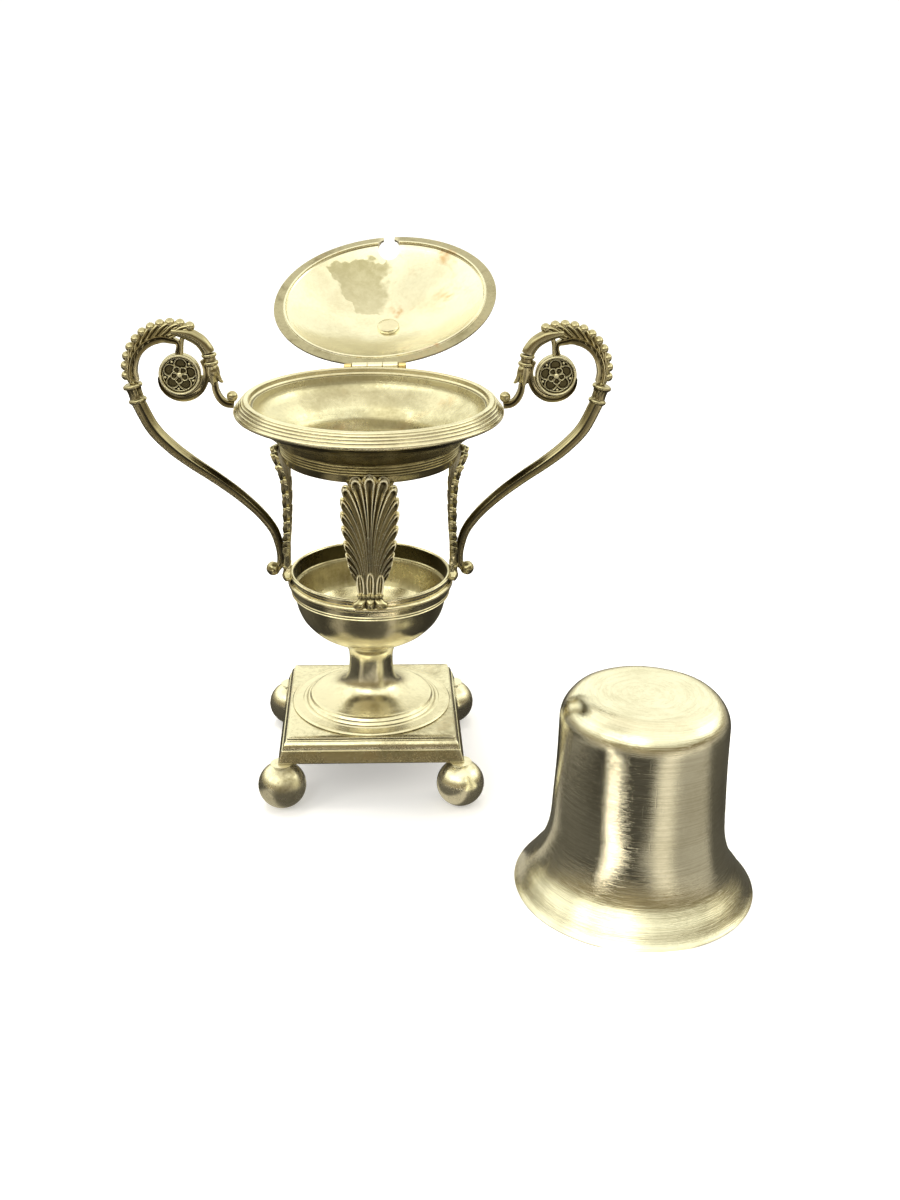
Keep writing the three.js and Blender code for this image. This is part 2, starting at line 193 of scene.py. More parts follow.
def sheet(front, back):
    """A shell between two grids of points of the same size, closed round their edges."""
    rows, columns, _ = front.shape
    n = rows * columns
    index = np.arange(n).reshape(rows, columns)
    a, b, c, d = index[:-1, :-1], index[:-1, 1:], index[1:, 1:], index[1:, :-1]
    quads = np.stack([a, b, c, d], axis=-1).reshape(-1, 4)
    faces = quads.tolist() + (quads[:, ::-1] + n).tolist()
    edge = np.concatenate([index[0, :-1], index[:-1, -1], index[-1, :0:-1], index[:0:-1, 0]])
    faces += [(j, i, i + n, j + n) for i, j in zip(edge, np.roll(edge, -1))]
    return outward(np.vstack([front.reshape(-1, 3), back.reshape(-1, 3)]), faces)


def sweep(path, sections):
    """A shell along a path in the plane of the handles. Each section holds (out, depth) pairs."""
    path = np.asarray(path, float)
    if path.shape[1] == 2:
        path = np.stack([path[:, 0], np.zeros(len(path)), path[:, 1]], axis=1)
    tangent = np.gradient(path, axis=0)
    tangent /= np.linalg.norm(tangent, axis=1)[:, None]
    depth = np.array([0.0, 1.0, 0.0])
    side = np.cross(depth, tangent)
    rings = [p + np.outer(s[:, 0], out) + np.outer(s[:, 1], depth)
             for p, out, s in zip(path, side, sections)]
    return loft(rings)


def ball(radius, x=0, y=0, z=0, around=28):
    steps = around // 2
    arc = [(radius * sin(pi * i / steps), -radius * cos(pi * i / steps))
           for i in range(steps + 1)]
    return moved(lathe(arc, around, loop=False, radius=0), x, y, z)


def aimed(shell, x0, z0, x1, z1):
    """A turned shell with its axis carried to a line in the plane of the handles."""
    direction = Vector((x1 - x0, 0, z1 - z0)).normalized()
    turn = Vector((0, 0, 1)).rotation_difference(direction).to_matrix().to_4x4()
    return placed(shell, Matrix.Translation((x0, 0, z0)) @ turn)


def oval(out, depth, count=16):
    angle = circle(count)
    return np.stack([out * np.cos(angle), depth * np.sin(angle)], axis=1)


def worn(shell, amount, waves, seed):
    """Shallow dents: the wall wanders in and out a little round the piece and up it."""
    points, faces = shell
    rng = np.random.default_rng(seed)
    angle = round_axis(points)
    shift = np.zeros(len(points))
    for n in waves:
        shift += np.sin(n * angle + points[:, 2] * rng.uniform(-0.22, 0.22) + rng.uniform(0, 6.28))
    shift *= amount / len(waves)
    reach = from_axis(points)
    fade = np.clip(reach / 6, 0, 1)
    points = points.copy()
    points[:, 0] += shift * fade * np.cos(angle)
    points[:, 1] += shift * fade * np.sin(angle)
    return points, faces


# ---- shaders
class Value:
    """The output of a node, which adds, subtracts and multiplies like a number."""

    def __init__(self, graph, socket):
        self.graph, self.socket = graph, socket

    def __add__(self, other):
        return self.graph.maths("ADD", self, other)

    def __radd__(self, other):
        return self.graph.maths("ADD", other, self)

    def __sub__(self, other):
        return self.graph.maths("SUBTRACT", self, other)

    def __rsub__(self, other):
        return self.graph.maths("SUBTRACT", other, self)

    def __mul__(self, other):
        return self.graph.maths("MULTIPLY", self, other)

    def remap(self, low, high, to_low=0.0, to_high=1.0):
        """Eases from to_low to to_high as the value goes from low to high, and stays there beyond."""
        limits = {"Value": self, "From Min": low, "From Max": high, "To Min": to_low, "To Max": to_high}
        return self.graph.grow("MapRange", limits, interpolation_type="SMOOTHSTEP")


class Graph:
    """The nodes of one material or world."""

    def __init__(self, owner):
        owner.use_nodes = True
        self.tree = owner.node_tree
        self.tree.nodes.clear()

    def grow(self, kind, inputs=None, out=0, **settings):
        """Adds a node and gives one of its outputs. Colours are given as red, green and blue."""
        node = self.tree.nodes.new("ShaderNode" + kind)
        for key, value in settings.items():
            setattr(node, key, value)
        for key, value in (inputs or {}).items():
            socket = node.inputs[key]
            if isinstance(value, Value):
                self.tree.links.new(value.socket, socket)
            else:
                socket.default_value = (*value, 1.0) if socket.type == "RGBA" else value
        return Value(self, node.outputs[out])

    def shown(self, kind, surface):
        output = self.tree.nodes.new("ShaderNode" + kind)
        self.tree.links.new(surface.socket, output.inputs["Surface"])

    def maths(self, operation, a, b=0.0, clamp=False):
        return self.grow("Math", {0: a, 1: b}, operation=operation, use_clamp=clamp)

    def noise(self, scale, vector, detail=3.0, roughness=0.55, **inputs):
        inputs = {"Scale": scale, "Vector": vector, "Detail": detail, "Roughness": roughness, **inputs}
        return self.grow("TexNoise", inputs)

    def mixed(self, factor, a, b):
        return self.grow("Mix", {0: factor, 6: a, 7: b}, out=2, data_type="RGBA")

    def shaders_mixed(self, factor, a, b):
        return self.grow("MixShader", {0: factor, 1: a, 2: b})

    def mapped(self, vector, scale, rotation=(0.0, 0.0, 0.0)):
        return self.grow("Mapping", {"Vector": vector, "Rotation": rotation, "Scale": scale})

    def attribute(self, name, out):
        return self.grow("Attribute", out=out, attribute_name=name)

    def axes(self, vector):
        node = self.grow("SeparateXYZ", {0: vector}).socket.node
        return [Value(self, socket) for socket in node.outputs]


CLOUDS, GRAIN, SPOTS = 55.0, 900.0, 38.0  # how many to the metre
RUST = (0.62, 0.34, 0.13)
# colour of the painted reflection inside the lid
PAINTED_REFLECTION_OLIVE = (0.42, 0.385, 0.25)


def silver(name, bright, tarnish, rough, recess=0.8, mottle=0.25, pits=0.02, brushed=0.0, scratches=0.02,
           proud_colour=(0.95, 0.9, 0.76), stain=0.0, rubbed_and_sheen=0.0, painted_reflection=None, hairlines=0.0):
    """Old silver: tarnish gathers in the hollows and in clouds, and the proud edges are lighter, partly worn
    bright by polishing and partly a painted highlight along the ridges.
    A further setting lowers the metal on those edges for more of that painted highlight; a function of the
    drawn place can lay a painted olive reflection over one region."""
    material = bpy.data.materials.new(name)
    g = Graph(material)
    place = g.grow("TexCoord", out="Object")
    hollow, lay = g.attribute("hollow", "Fac"), g.attribute("lay", "Vector")
    cloud, grain = g.noise(CLOUDS, place, 5.0, 0.6), g.noise(GRAIN, place, 3.0, 0.6)
    proud = hollow.remap(0.46, 0.15)
    dirt = hollow.remap(0.53, 0.8) * recess + cloud.remap(0.42, 0.72) * mottle
    dirt = g.maths("ADD", dirt, (grain - 0.5) * mottle, clamp=True)
    colour = g.mixed(dirt, bright, tarnish)
    # proud parts mixed towards a paler colour: wear from polishing, and a painted highlight
    colour = g.mixed(proud * 0.6, colour, proud_colour)
    if stain:
        spots = g.noise(SPOTS, place, 4.0, 0.7, Distortion=0.6).remap(0.56, 0.74)
        colour = g.mixed(spots * stain, colour, RUST)
    if hairlines:
        lines = g.noise(2.6, g.mapped(lay, (0.3, 1.0, 1.0)), 6.0, 0.85).remap(0.44, 0.62)
        colour = g.mixed(lines * hairlines, colour, tarnish)
    # a painted olive reflection laid over the region the function gives
    if painted_reflection:
        colour = g.mixed(painted_reflection(g), colour, PAINTED_REFLECTION_OLIVE)
    roughness = g.maths("ADD", rough + dirt * 0.28, (grain - 0.5) * 0.12, clamp=True)
    long_streaks = g.mapped(place, (2600.0, 2600.0, 90.0), (0.4, 0.9, 0.3))
    cross_streaks = g.mapped(place, (2200.0, 2200.0, 70.0), (1.9, 0.2, 1.1))
    scratch = g.noise(1.0, long_streaks, 1.0).remap(0.66, 0.8)
    scratch = scratch + g.noise(1.0, cross_streaks, 1.0).remap(0.68, 0.82)
    lathe_marks = g.noise(7.0, lay, 4.0, 0.65)
    height = grain * pits - scratch * scratches + lathe_marks * brushed
    bump = g.grow("Bump", {"Height": height, "Strength": 1.0, "Distance": 0.0002})
    # the metal is lowered on proud edges by the setting above, a painted highlight from the soft light
    g.shown("OutputMaterial", g.grow("BsdfPrincipled", {
        "Base Color": colour, "Metallic": 1.0 - proud * rubbed_and_sheen, "Roughness": roughness, "Normal": bump}))
    return material


def lid_painted_reflection(g):
    """A painted reflection: an olive patch inside the lid, between the spoon slot and the nut and left of the
    middle, standing in for a dark shape the silver mirrors.
    """
    drawn = g.attribute("drawn", "Vector")
    across, along, _ = g.axes(drawn)
    wander = (g.noise(0.2, drawn, 2.0) - 0.5) * 7.0
    # two slanting edges meet at a point on the left, each end is cut, and the right edge is soft
    x, y = across + 20.6, along + 21.5
    left = g.maths("MINIMUM", x * 0.807 - y * 0.590, x * 0.503 + y * 0.864)
    ends = g.maths("MINIMUM", 14.5 - y, y + 5.5)
    depth = g.maths("MINIMUM", left, ends)
    right = (across + wander * 1.6).remap(0.8, -2.8)
    inside = (depth + wander).remap(0.0, 0.7) * right
    patchy = g.noise(0.35, drawn, 4.0, 0.7).remap(0.3, 0.65, 0.75, 1.0)
    return inside * (along.remap(-7.0, -27.0, 0.6, 1.0) * patchy)


SATIN = (0.81, 0.76, 0.60)
ball_silver = silver("polished_silver_ball", (0.93, 0.88, 0.71), (0.24, 0.19, 0.09), 0.24, recess=0.6,
    mottle=0.85, pits=0.08, brushed=0.05, scratches=0.16)
cup_silver = silver("polished_silver_cup", (0.90, 0.87, 0.75), (0.42, 0.37, 0.23), 0.06, recess=0.4,
    mottle=0.25, pits=0.03, brushed=0.17, scratches=0.04, hairlines=0.26)
lid_silver = silver("polished_silver_lid", (0.90, 0.87, 0.73), (0.50, 0.41, 0.23), 0.13, recess=0.6,
    mottle=0.35, pits=0.05, brushed=0.10, scratches=0.06, stain=1.0, painted_reflection=lid_painted_reflection)
flange_silver = silver("polished_silver_flange", (0.45, 0.415, 0.30), (0.18, 0.15, 0.08), 0.22, recess=1.0,
    mottle=0.95, pits=0.10, brushed=0.15, scratches=0.1, stain=0.3)
satin = silver("satin_silver", SATIN, (0.30, 0.25, 0.13), 0.17, recess=0.9, mottle=0.3, pits=0.10,
    brushed=0.10, scratches=0.08, stain=0.12)
plinth_silver = silver("satin_silver_plinth", SATIN, (0.22, 0.18, 0.09), 0.17, recess=0.9, mottle=0.6,
    pits=0.10, brushed=0.10, scratches=0.12, stain=0.2)
# the plinth's upright face: a darker copy of the plinth silver, painted shade, with heavier tarnish mottling
fascia_painted_shade = silver("satin_silver_fascia_painted_shade", (0.56, 0.51, 0.36), (0.14, 0.11, 0.05), 0.20, recess=0.9,
    mottle=0.95, pits=0.12, brushed=0.10, scratches=0.12, stain=0.3)
bowl_silver = silver("satin_silver_bowl", (0.77, 0.71, 0.53), (0.18, 0.145, 0.07), 0.12, recess=0.9,
    mottle=0.4, pits=0.06, brushed=0.12, scratches=0.10, stain=0.2)
# the outside of the collar bell: near-black silver, painted shade for the dark it mirrors under the ring
neck_painted_shade = silver("satin_silver_neck_painted_shade", (0.12, 0.10, 0.05), (0.05, 0.04, 0.018), 0.12, recess=0.9,
    mottle=0.6, pits=0.06, brushed=0.12, scratches=0.08, proud_colour=(0.85, 0.8, 0.6))
lining = silver("satin_silver_lining", (0.70, 0.64, 0.44), (0.26, 0.21, 0.11), 0.27, recess=0.7,
    mottle=0.75, pits=0.10, brushed=0.2, scratches=0.08, stain=0.4)
funnel = silver("satin_silver_funnel", (0.73, 0.69, 0.53), (0.34, 0.29, 0.17), 0.20, recess=0.8,
    mottle=0.65, pits=0.08, brushed=0.2, scratches=0.08, stain=0.35)
# the inner wall just under the bowl's lip: near-black silver, painted shade
rim_band_painted_shade = silver("satin_silver_band_painted_shade", (0.065, 0.056, 0.028), (0.06, 0.05, 0.022), 0.26, recess=0.5,
    mottle=0.6, pits=0.15, brushed=0.1, scratches=0.05, proud_colour=(0.4, 0.36, 0.22))
cast = silver("cast_silver", (0.34, 0.295, 0.185), (0.04, 0.03, 0.013), 0.17, recess=1.0, mottle=0.3,
    pits=0.04, scratches=0.04, proud_colour=(0.66, 0.60, 0.41))
# two copies of the palmette silver: a lighter one with a painted highlight on its ridges, and a darker one
# that is painted shade
leaf_cast_painted_sheen = silver("cast_silver_leaf_painted_sheen", (0.66, 0.59, 0.39), (0.07, 0.054, 0.022), 0.22, recess=1.0,
    mottle=0.25, pits=0.03, scratches=0.03, proud_colour=(0.90, 0.83, 0.58), rubbed_and_sheen=0.5)
cast_painted_shade = silver("cast_silver_painted_shade", (0.36, 0.315, 0.20), (0.04, 0.03, 0.013), 0.16, recess=1.0,
    mottle=0.3, pits=0.03, scratches=0.03, proud_colour=(0.78, 0.72, 0.50))
reeded = silver("satin_silver_reeded", (0.40, 0.35, 0.21), (0.05, 0.04, 0.018), 0.14, recess=1.0,
    mottle=0.5, pits=0.06, brushed=0.1, scratches=0.06, proud_colour=(0.95, 0.90, 0.70))
rosette_cast = silver("cast_silver_rosette", (0.50, 0.45, 0.30), (0.05, 0.04, 0.018), 0.17, recess=0.4,
    mottle=0.2, pits=0.03, scratches=0.03, proud_colour=(0.88, 0.82, 0.58), rubbed_and_sheen=0.25)
rosette_field = silver("cast_silver_field", (0.14, 0.12, 0.065), (0.03, 0.022, 0.01), 0.26, recess=1.0,
    mottle=0.4, pits=0.1, scratches=0.03, proud_colour=(0.30, 0.27, 0.17))
brass = silver("brass_fixings", (0.72, 0.55, 0.25), (0.22, 0.15, 0.06), 0.24, recess=0.8, mottle=0.3,
    pits=0.2, brushed=0.1, proud_colour=(0.9, 0.74, 0.4))


# ---- making the pieces
def add_object(name, data):
    obj = bpy.data.objects.new(name, data)
    bpy.context.scene.collection.objects.link(obj)
    return obj


def new_mesh(name, shell):
    mesh = bpy.data.meshes.new(name)
    mesh.from_pydata((shell[0] * MM).tolist(), [], shell[1])
    return mesh


def mark_surface(mesh, lay, drawn, blur):
    """Stores how hollow the surface is at each point (0.5 is flat), the lay of its polishing marks, and the
    place of the point in the piece's own drawing."""
    count = len(mesh.vertices)
    co, normal = np.empty(count * 3), np.empty(count * 3)
    mesh.vertices.foreach_get("co", co)
    mesh.vertex_normals.foreach_get("vector", normal)
    co, normal = co.reshape(-1, 3) / MM, normal.reshape(-1, 3)
    edge = np.empty(len(mesh.edges) * 2, np.int32)
    mesh.edges.foreach_get("vertices", edge)
    a, b = edge.reshape(-1, 2).T
    step = co[b] - co[a]
    square = (step ** 2).sum(1) + 1e-6
    bend = ((normal[b] - normal[a]) * step).sum(1) / square
    weight = np.sqrt(square)
    total = np.bincount(a, bend * weight, count) + np.bincount(b, bend * weight, count)
    share = np.bincount(a, weight, count) + np.bincount(b, weight, count) + 1e-9
    degree = np.bincount(a, minlength=count) + np.bincount(b, minlength=count) + 1e-9
    value = total / share
    for _ in range(blur):
        around = np.bincount(a, value[b], count) + np.bincount(b, value[a], count)
        value = 0.5 * value + 0.5 * around / degree
    hollow = np.clip(0.5 - 0.5 * np.tanh(value * 0.9), 0, 1)
    mesh.attributes.new("hollow", "FLOAT", "POINT").data.foreach_set("value", hollow.astype(np.float32))
    for label, values in (("lay", lay), ("drawn", drawn)):
        mesh.attributes.new(label, "FLOAT_VECTOR", "POINT").data.foreach_set(
            "vector", np.ascontiguousarray(values, np.float32).ravel())


def make(name, shell, material, node, body="frame", place=None, sharp=40, zones=(), blur=5):
    """Adds the piece that stands in for a node. Each zone is a material and a test of the faces' middles, as
    drawn. place carries the drawing to its place in the frame."""
    points, faces = shell
    angle = round_axis(points)
    reach = from_axis(points)
    lay = np.stack([reach, points[:, 2] + 0.6 * np.cos(angle), 0.6 * np.sin(angle)], axis=1)
    drawn = points
    if place is not None:
        points = placed(shell, place)[0]
    mesh = new_mesh(name, (points, faces))
    mesh.validate()
    mesh.polygons.foreach_set("use_smooth", [True] * len(mesh.polygons))
    mesh.set_sharp_from_angle(angle=radians(sharp))
    mark_surface(mesh, lay, drawn, blur)
    mesh.materials.append(material)
    if zones:
        middles = np.empty(len(mesh.polygons) * 3)
        mesh.polygons.foreach_get("center", middles)
        middles = middles.reshape(-1, 3) / MM
        if place is not None:
            middles = placed((middles, None), place.inverted())[0]
        index = np.zeros(len(middles), np.int32)
        for number, (zone, test) in enumerate(zones, 1):
            mesh.materials.append(zone)
            index[test(middles)] = number
        mesh.polygons.foreach_set("material_index", index)
    obj = add_object(name, mesh)
    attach(obj, body)
    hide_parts(node)


# ---- ball feet
BALL_R = 6.69
PAD_R = 1.6


def ball_foot(seed):
    middle = floor_z + sqrt(BALL_R ** 2 - PAD_R ** 2)
    low = -acos(PAD_R / BALL_R)
    high = radians(66)
    arc = [(BALL_R * cos(t), middle + BALL_R * sin(t)) for t in np.linspace(low, high, 34)]
    neck = spline([arc[-1], (2.55, middle + 6.3), (2.6, -0.35), (3.1, -0.03)], 8)[1:]
    outline = [(0, floor_z), *arc, *neck, (0, -0.03)]
    return worn(lathe(outline, 72, loop=False, radius=0.12), 0.035, (2, 3, 5), seed)


for number, corner in enumerate(("front_left", "front_right", "rear_left", "rear_right")):
    node = f"foot_ball_{corner}"
    low, high = box_mm(node)
    middle = (low + high) / 2
    make(f"ball_foot_{corner}", moved(ball_foot(number), middle[0], middle[1]), ball_silver, node)


# ---- plinth
def square_ring(half, corner, z, side=26, bend=6):
    """Points round a square with rounded corners, starting at the middle of a side's end."""
    out = []
    flat = half - corner
    for k in range(4):
        turn = pi / 2 * k
        c, s = cos(turn), sin(turn)
        local = [(half, y) for y in np.linspace(-flat, flat, side, endpoint=False)]
        local += [(flat + corner * cos(t), flat + corner * sin(t))
                  for t in np.linspace(0, pi / 2, bend, endpoint=False)]
        out += [(x * c - y * s, x * s + y * c, z) for x, y in local]
    return np.array(out)


def round_ring(radius, like, z):
    angle = round_axis(like)
    return np.stack([radius * np.cos(angle), radius * np.sin(angle), np.full(len(like), z)], axis=1)


STUD_HOLE_R = 1.8


def plinth_shell():
    half, top = plinth_high[0], plinth_high[2]
    outline = eased([(19, 4), (19, 0), (half - 0.1, 0), (half, 0.3), (25.0, 3.55), (24.72, 3.6),
        (24.66, 4.0), (24.5, 4.75), (24.2, 5.4), (23.75, 5.85), (23.4, 5.95), (23.25, 6.2), (23.45, 6.35),
        (23.45, 6.8), (23.2, top)], 0.14, loop=False)
    outline = [*outline, *[(half_width, top) for half_width in (21.5, 19.5, 17, 14, 10, 6)]]
    rings = [square_ring(h, 0.5 if h > 20 else 0.8, z) for h, z in outline]
    rings += [round_ring(STUD_HOLE_R, rings[0], z) for z in (top, 4.0)]
    shell = loft(rings, loop=True)
    points = shell[0].copy()
    x, y = points[:, 0], points[:, 1]
    lift = 0.05 * np.sin(0.21 * x + 0.9) * np.sin(0.17 * y - 0.4) + 0.03 * np.sin(0.37 * x - 0.29 * y)
    points[:, 2] += np.minimum(lift, 0.0) * np.clip(points[:, 2] - 3, 0, 1)
    return points, shell[1]


# the upright face below the moulding takes the darker silver, painted shade
make("plinth_stepped", plinth_shell(), plinth_silver, "plinth", sharp=48,
     zones=((fascia_painted_shade, lambda at: at[:, 2] < 3.5),))

# ---- stem
stem_outline = [(1.8, 7.05), (23.0, 7.05), (23.05, 7.3), (22.7, 7.62), (22.3, 7.6), (21.9, 7.5),
    (20.6, 7.72), (19.9, 7.8), (19.55, 8.1), (19.2, 8.2), (18.9, 8.1), (18.75, 8.35), (18.3, 8.75),
    (17.9, 8.85), (17.7, 9.1), (17.45, 9.5), (17.0, 9.72), (16.6, 9.66), *spline([(16.2, 9.72), (13, 10.4),
    (10.2, 11.35), (8.2, 12.75), (7.1, 14.6), (6.5, 16.9), (6.25, 19.6), (6.3, 22.3), (6.75, 24.1),
    (7.6, 25.35), (8.4, 26.2)], 44), (1.8, 26.2)]
make("stem_trumpet", worn(lathe(stem_outline, 160, radius=0.12), 0.05, (2, 3, 4, 7), 11), satin, "stem")

# ---- bowl
rim = box_mm("bowl")[1][2]
bowl_outline = [(0, 26.2), (8.4, 26.2), *spline([(8.9, 26.6), (12, 28.35), (14.2, 29.6), (16.3, 31.15),
    (19, 34.1), (20.5, 37.1), (21.25, 40.0), (21.7, 41.5)], 44), (22.05, 41.6), (22.4, 41.85),
    (22.15, 42.15), (22.25, 42.4), (22.55, 42.65), (22.35, 42.95), (22.4, 43.2), (22.4, 46.9),
    (22.62, 47.15), (22.66, 47.75), (22.3, rim), (21.8, rim), (21.6, 47.7), (21.6, 43.6), (21.4, 43.3),
    (20.8, 43.05), *spline([(20.6, 42.4), (19.75, 37.6), (18.4, 34.7), (15.8, 31.9), (13.6, 30.4),
    (11.2, 29.15), (8, 28.1), (2, 27.8)], 44), (0, 27.8)]


def inside_bowl(at):
    reach = from_axis(at)
    return (reach < 21.55) & (at[:, 2] > np.interp(reach, [0, 8, 15, 19.5, 21],
        [27.2, 27.3, 30.6, 36.2, 42.0]))


# the inner band just below the rim, painted dark as shade
def bowl_band_painted_shade(at):
    return (from_axis(at) < 21.75) & (at[:, 2] > 43.45) & (at[:, 2] < 47.8)


BOWL_WEAR = 0.05, (2, 3, 5, 7), 5
make("bowl_raised", worn(lathe(bowl_outline, 176, loop=False, radius=0.12), *BOWL_WEAR), bowl_silver,
    "bowl", zones=((lining, inside_bowl), (rim_band_painted_shade, bowl_band_painted_shade)))
moulding = [(22.42, 44.2), (22.75, 44.2), (22.95, 44.35),
            *[(22.85 + 0.42 * cos(t), 45.1 + 0.72 * sin(t)) for t in np.linspace(-1.25, 1.25, 12)],
            (22.95, 45.85), (22.75, 46.0), (22.42, 46.0)]
make("bowl_half_round", worn(lathe(moulding, 176, radius=0.06), *BOWL_WEAR), bowl_silver, "bowl_moulding")

# ---- palmettes
TIP_COUNT = 10
TIP_X = [0, 4.2, 7.1, 7.75, 7.8, 7.55, 7.05, 6.5, 5.9, 5.2, 4.8]
TIP_Z = [84.35, 83.5, 80.4, 76.3, 72.3, 68.3, 64.2, 60.9, 58.4, 56.4, 55.4]
LEAN_Z = [44, 48.3, 53, 59, 68, 75, 79, 81.5, 84.4]
LEAN_R = [23.35, 23.35, 23.15, 23.1, 23.2, 23.6, 24.3, 25.1, 25.5]
lean = spline(np.stack([LEAN_Z, LEAN_R], axis=1), 90)


def on_leaf(x, z, out):
    """Carries a flat drawing on to the leaning, slightly curved front of a palmette."""
    reach = np.interp(z, lean[:, 0], lean[:, 1]) + out
    return np.stack([x, -(reach - x ** 2 / 46), z], axis=-1)


def palmette_shell():
    marks = [*range(TIP_COUNT), TIP_COUNT - 0.5]
    last = marks[-1]
    kappa = np.linspace(-last, last, 19 * 14 + 1)
    size = np.abs(kappa)
    smooth_x = spline(np.stack([marks, TIP_X], axis=1), 200)
    smooth_z = spline(np.stack([marks, TIP_Z], axis=1), 200)
    tip_x = np.sign(kappa) * np.interp(size, smooth_x[:, 0], smooth_x[:, 1])
    tip_z = np.interp(size, smooth_z[:, 0], smooth_z[:, 1])
    foot_x, foot_z = kappa / last * 3.3, 49.2
    u = np.abs(kappa - np.round(kappa)) * 2
    lobe = np.hypot(np.gradient(tip_x, kappa), np.gradient(tip_z, kappa))
    end = 1 - 0.30 * lobe / (tip_z - foot_z) * u ** 2.6
    t = (1 - (1 - steps(84)) ** 1.7)[:, None] * end
    x = foot_x + (tip_x - foot_x) * t ** 3
    z = foot_z + (tip_z - foot_z) * t
    run = np.concatenate([np.zeros((1, x.shape[1])),
        np.cumsum(np.hypot(np.diff(x, axis=0), np.diff(z, axis=0)), axis=0)])
    left = run[-1] - run
    width = np.hypot(np.gradient(x, kappa, axis=1), np.gradient(z, kappa, axis=1) * 0.25)
    tip = np.clip(1 - left / (0.42 * lobe), 0, 1)
    e = np.clip(np.hypot(u, tip), 0, 1)
    spoon = np.interp(e, [0, 0.2, 0.42, 0.6, 0.74, 0.86, 1.0], [0.22, 0.26, 0.62, 1.0, 0.96, 0.5, 0.0])
    relief = spoon * np.minimum(0.95, 0.16 + 0.42 * width)
    curl = 1.5 * np.exp(-left / 1.7) * (1 - 0.3 * u) * (1 - 0.6 * tip ** 3)
    front = on_leaf(x, z, relief + curl)
    back = on_leaf(x, z, -0.6 + 0.62 * curl + 0.12 * spoon)
    return sheet(front, back)


def lancet_shell(x0, lean_out, height):
    """A small pointed leaf with a raised border and a mid rib."""
    s = steps(26)[:, None]
    v = np.linspace(-1, 1, 15)[None, :]
    half = 1.22 * (0.72 + 0.38 * s) * np.sqrt(np.clip(1 - s ** 3.0, 0, 1)) + 0.02
    z = 50.5 + height * s + 0 * v
    x = x0 + lean_out * s + half * v
    border = np.interp(np.abs(v), [0, 0.12, 0.35, 0.68, 0.86, 1], [0.45, 0.2, 0.0, 0.75, 0.75, 0.1])
    cap = np.clip((1 - s) * 9, 0, 1)
    front = on_leaf(x, z, 0.62 + 0.55 * border * cap + 0.55 * s ** 2)
    back = on_leaf(x, z, 0.05 + 0 * x)
    return sheet(front, back)


def clip_shell():
    """The three-lobed foot that grips the bowl's rim."""
    s = steps(30)[:, None]
    v = np.linspace(-1, 1, 73)[None, :]
    wave = np.abs(np.cos(1.5 * pi * v))
    drop = 1.9 + (1.6 - 0.5 * np.abs(v)) * wave ** 0.5
    x = v * (3.1 + 1.75 * s ** 1.6)
    z = 48.95 - drop * s
    bulge = (0.35 + 1.05 * wave ** 0.7) * np.sin(pi * (0.1 + 0.8 * s)) + 0.55 * s * np.abs(v)
    front = on_leaf(x, z, -0.1 + bulge)
    back = on_leaf(x, z, -0.7 + 0 * x)
    return sheet(front, back)


def grip_shell():
    """The strap over the rim behind the leaf's root."""
    s = steps(6)[:, None]
    v = np.linspace(-1, 1, 21)[None, :]
    x, z = v * 3.35 + 0 * s, 48.1 + 1.5 * s + 0 * v
    return sheet(on_leaf(x, z, 0.35 + 0 * x), on_leaf(x, z, -0.75 + 0 * x))


PALMETTE_FOOT = 50.4
palmette_parts = [palmette_shell(), clip_shell(), grip_shell(), lancet_shell(-2.45, -0.4, 5.3),
    lancet_shell(0.0, 0.0, 5.9), lancet_shell(2.45, 0.4, 5.3)]
for place_x in (-2.9, -1.75, -0.6, 0.6, 1.75, 2.9):
    spot = on_leaf(np.array(place_x), np.array(50.0), 0.8)
    palmette_parts.append(ball(0.66, *spot, around=14))
palmette = merged(*palmette_parts)
# palmettes facing front and back take the lighter copy, painted highlight; the side ones and every foot take
# the darker copy, painted shade
for side, degrees in (("front", 0), ("right", 90), ("rear", 180), ("left", 270)):
    faces_the_front = degrees in (0, 180)
    make(f"palmette_leaf_{side}", placed(palmette, turned(degrees)),
        leaf_cast_painted_sheen if faces_the_front else cast_painted_shade, f"palmette_{side}", sharp=60, blur=1,
        zones=((cast_painted_shade, lambda at: at[:, 2] < PALMETTE_FOOT),))

# ---- collar and its ring


def reed(r, z, size, out=1.0):
    """A small half-round rib on an outside wall."""
    return [(r + out * size * sin(t), z - size * cos(t)) for t in np.linspace(0.15, pi - 0.15, 8)]


collar_outline = [(22.95, neck_z), (23.5, neck_z), (23.75, neck_z + 0.15), (23.95, 82.3), (24.05, 83.1),
    *reed(24.05, 83.6, 0.36), *reed(24.1, 84.35, 0.36), *reed(24.2, 85.1, 0.36), *reed(24.4, 85.9, 0.4),
    *spline([(24.9, 86.5), (26.2, 87.8), (28.2, 89.6), (30.4, 91.2), (31.5, 92.8), (31.8, 94.4),
    (31.8, 96.0)], 30), (31.2, 96.0), *spline([(31.1, 94.6), (30.6, 93.2), (29.5, 91.8), (27.4, 90.3),
    (25.4, 88.4), (24.2, 86.4), (23.5, 84.9), (23.2, 82.6), (22.95, 81.7)], 40)]


REEDS_END = 86.3
WALL_Z = [81.3, 84.9, 86.4, 88.4, 90.4, 91.9, 93.5, 96]
WALL_R = [23.2, 23.9, 24.7, 25.9, 28.2, 30.3, 31.2, 31.4]


def inside_collar(at):
    """Faces nearer the axis than the middle of the wall."""
    return from_axis(at) < np.interp(at[:, 2], WALL_Z, WALL_R)


# outside, the bell is painted dark as shade; the reeds and the inside take lighter silver
make("collar_bell", worn(lathe(collar_outline, 192, radius=0.1), 0.03, (2, 3, 5, 6), 8), neck_painted_shade,
    "collar", zones=((reeded, lambda at: at[:, 2] < REEDS_END), (funnel, inside_collar)), blur=2)


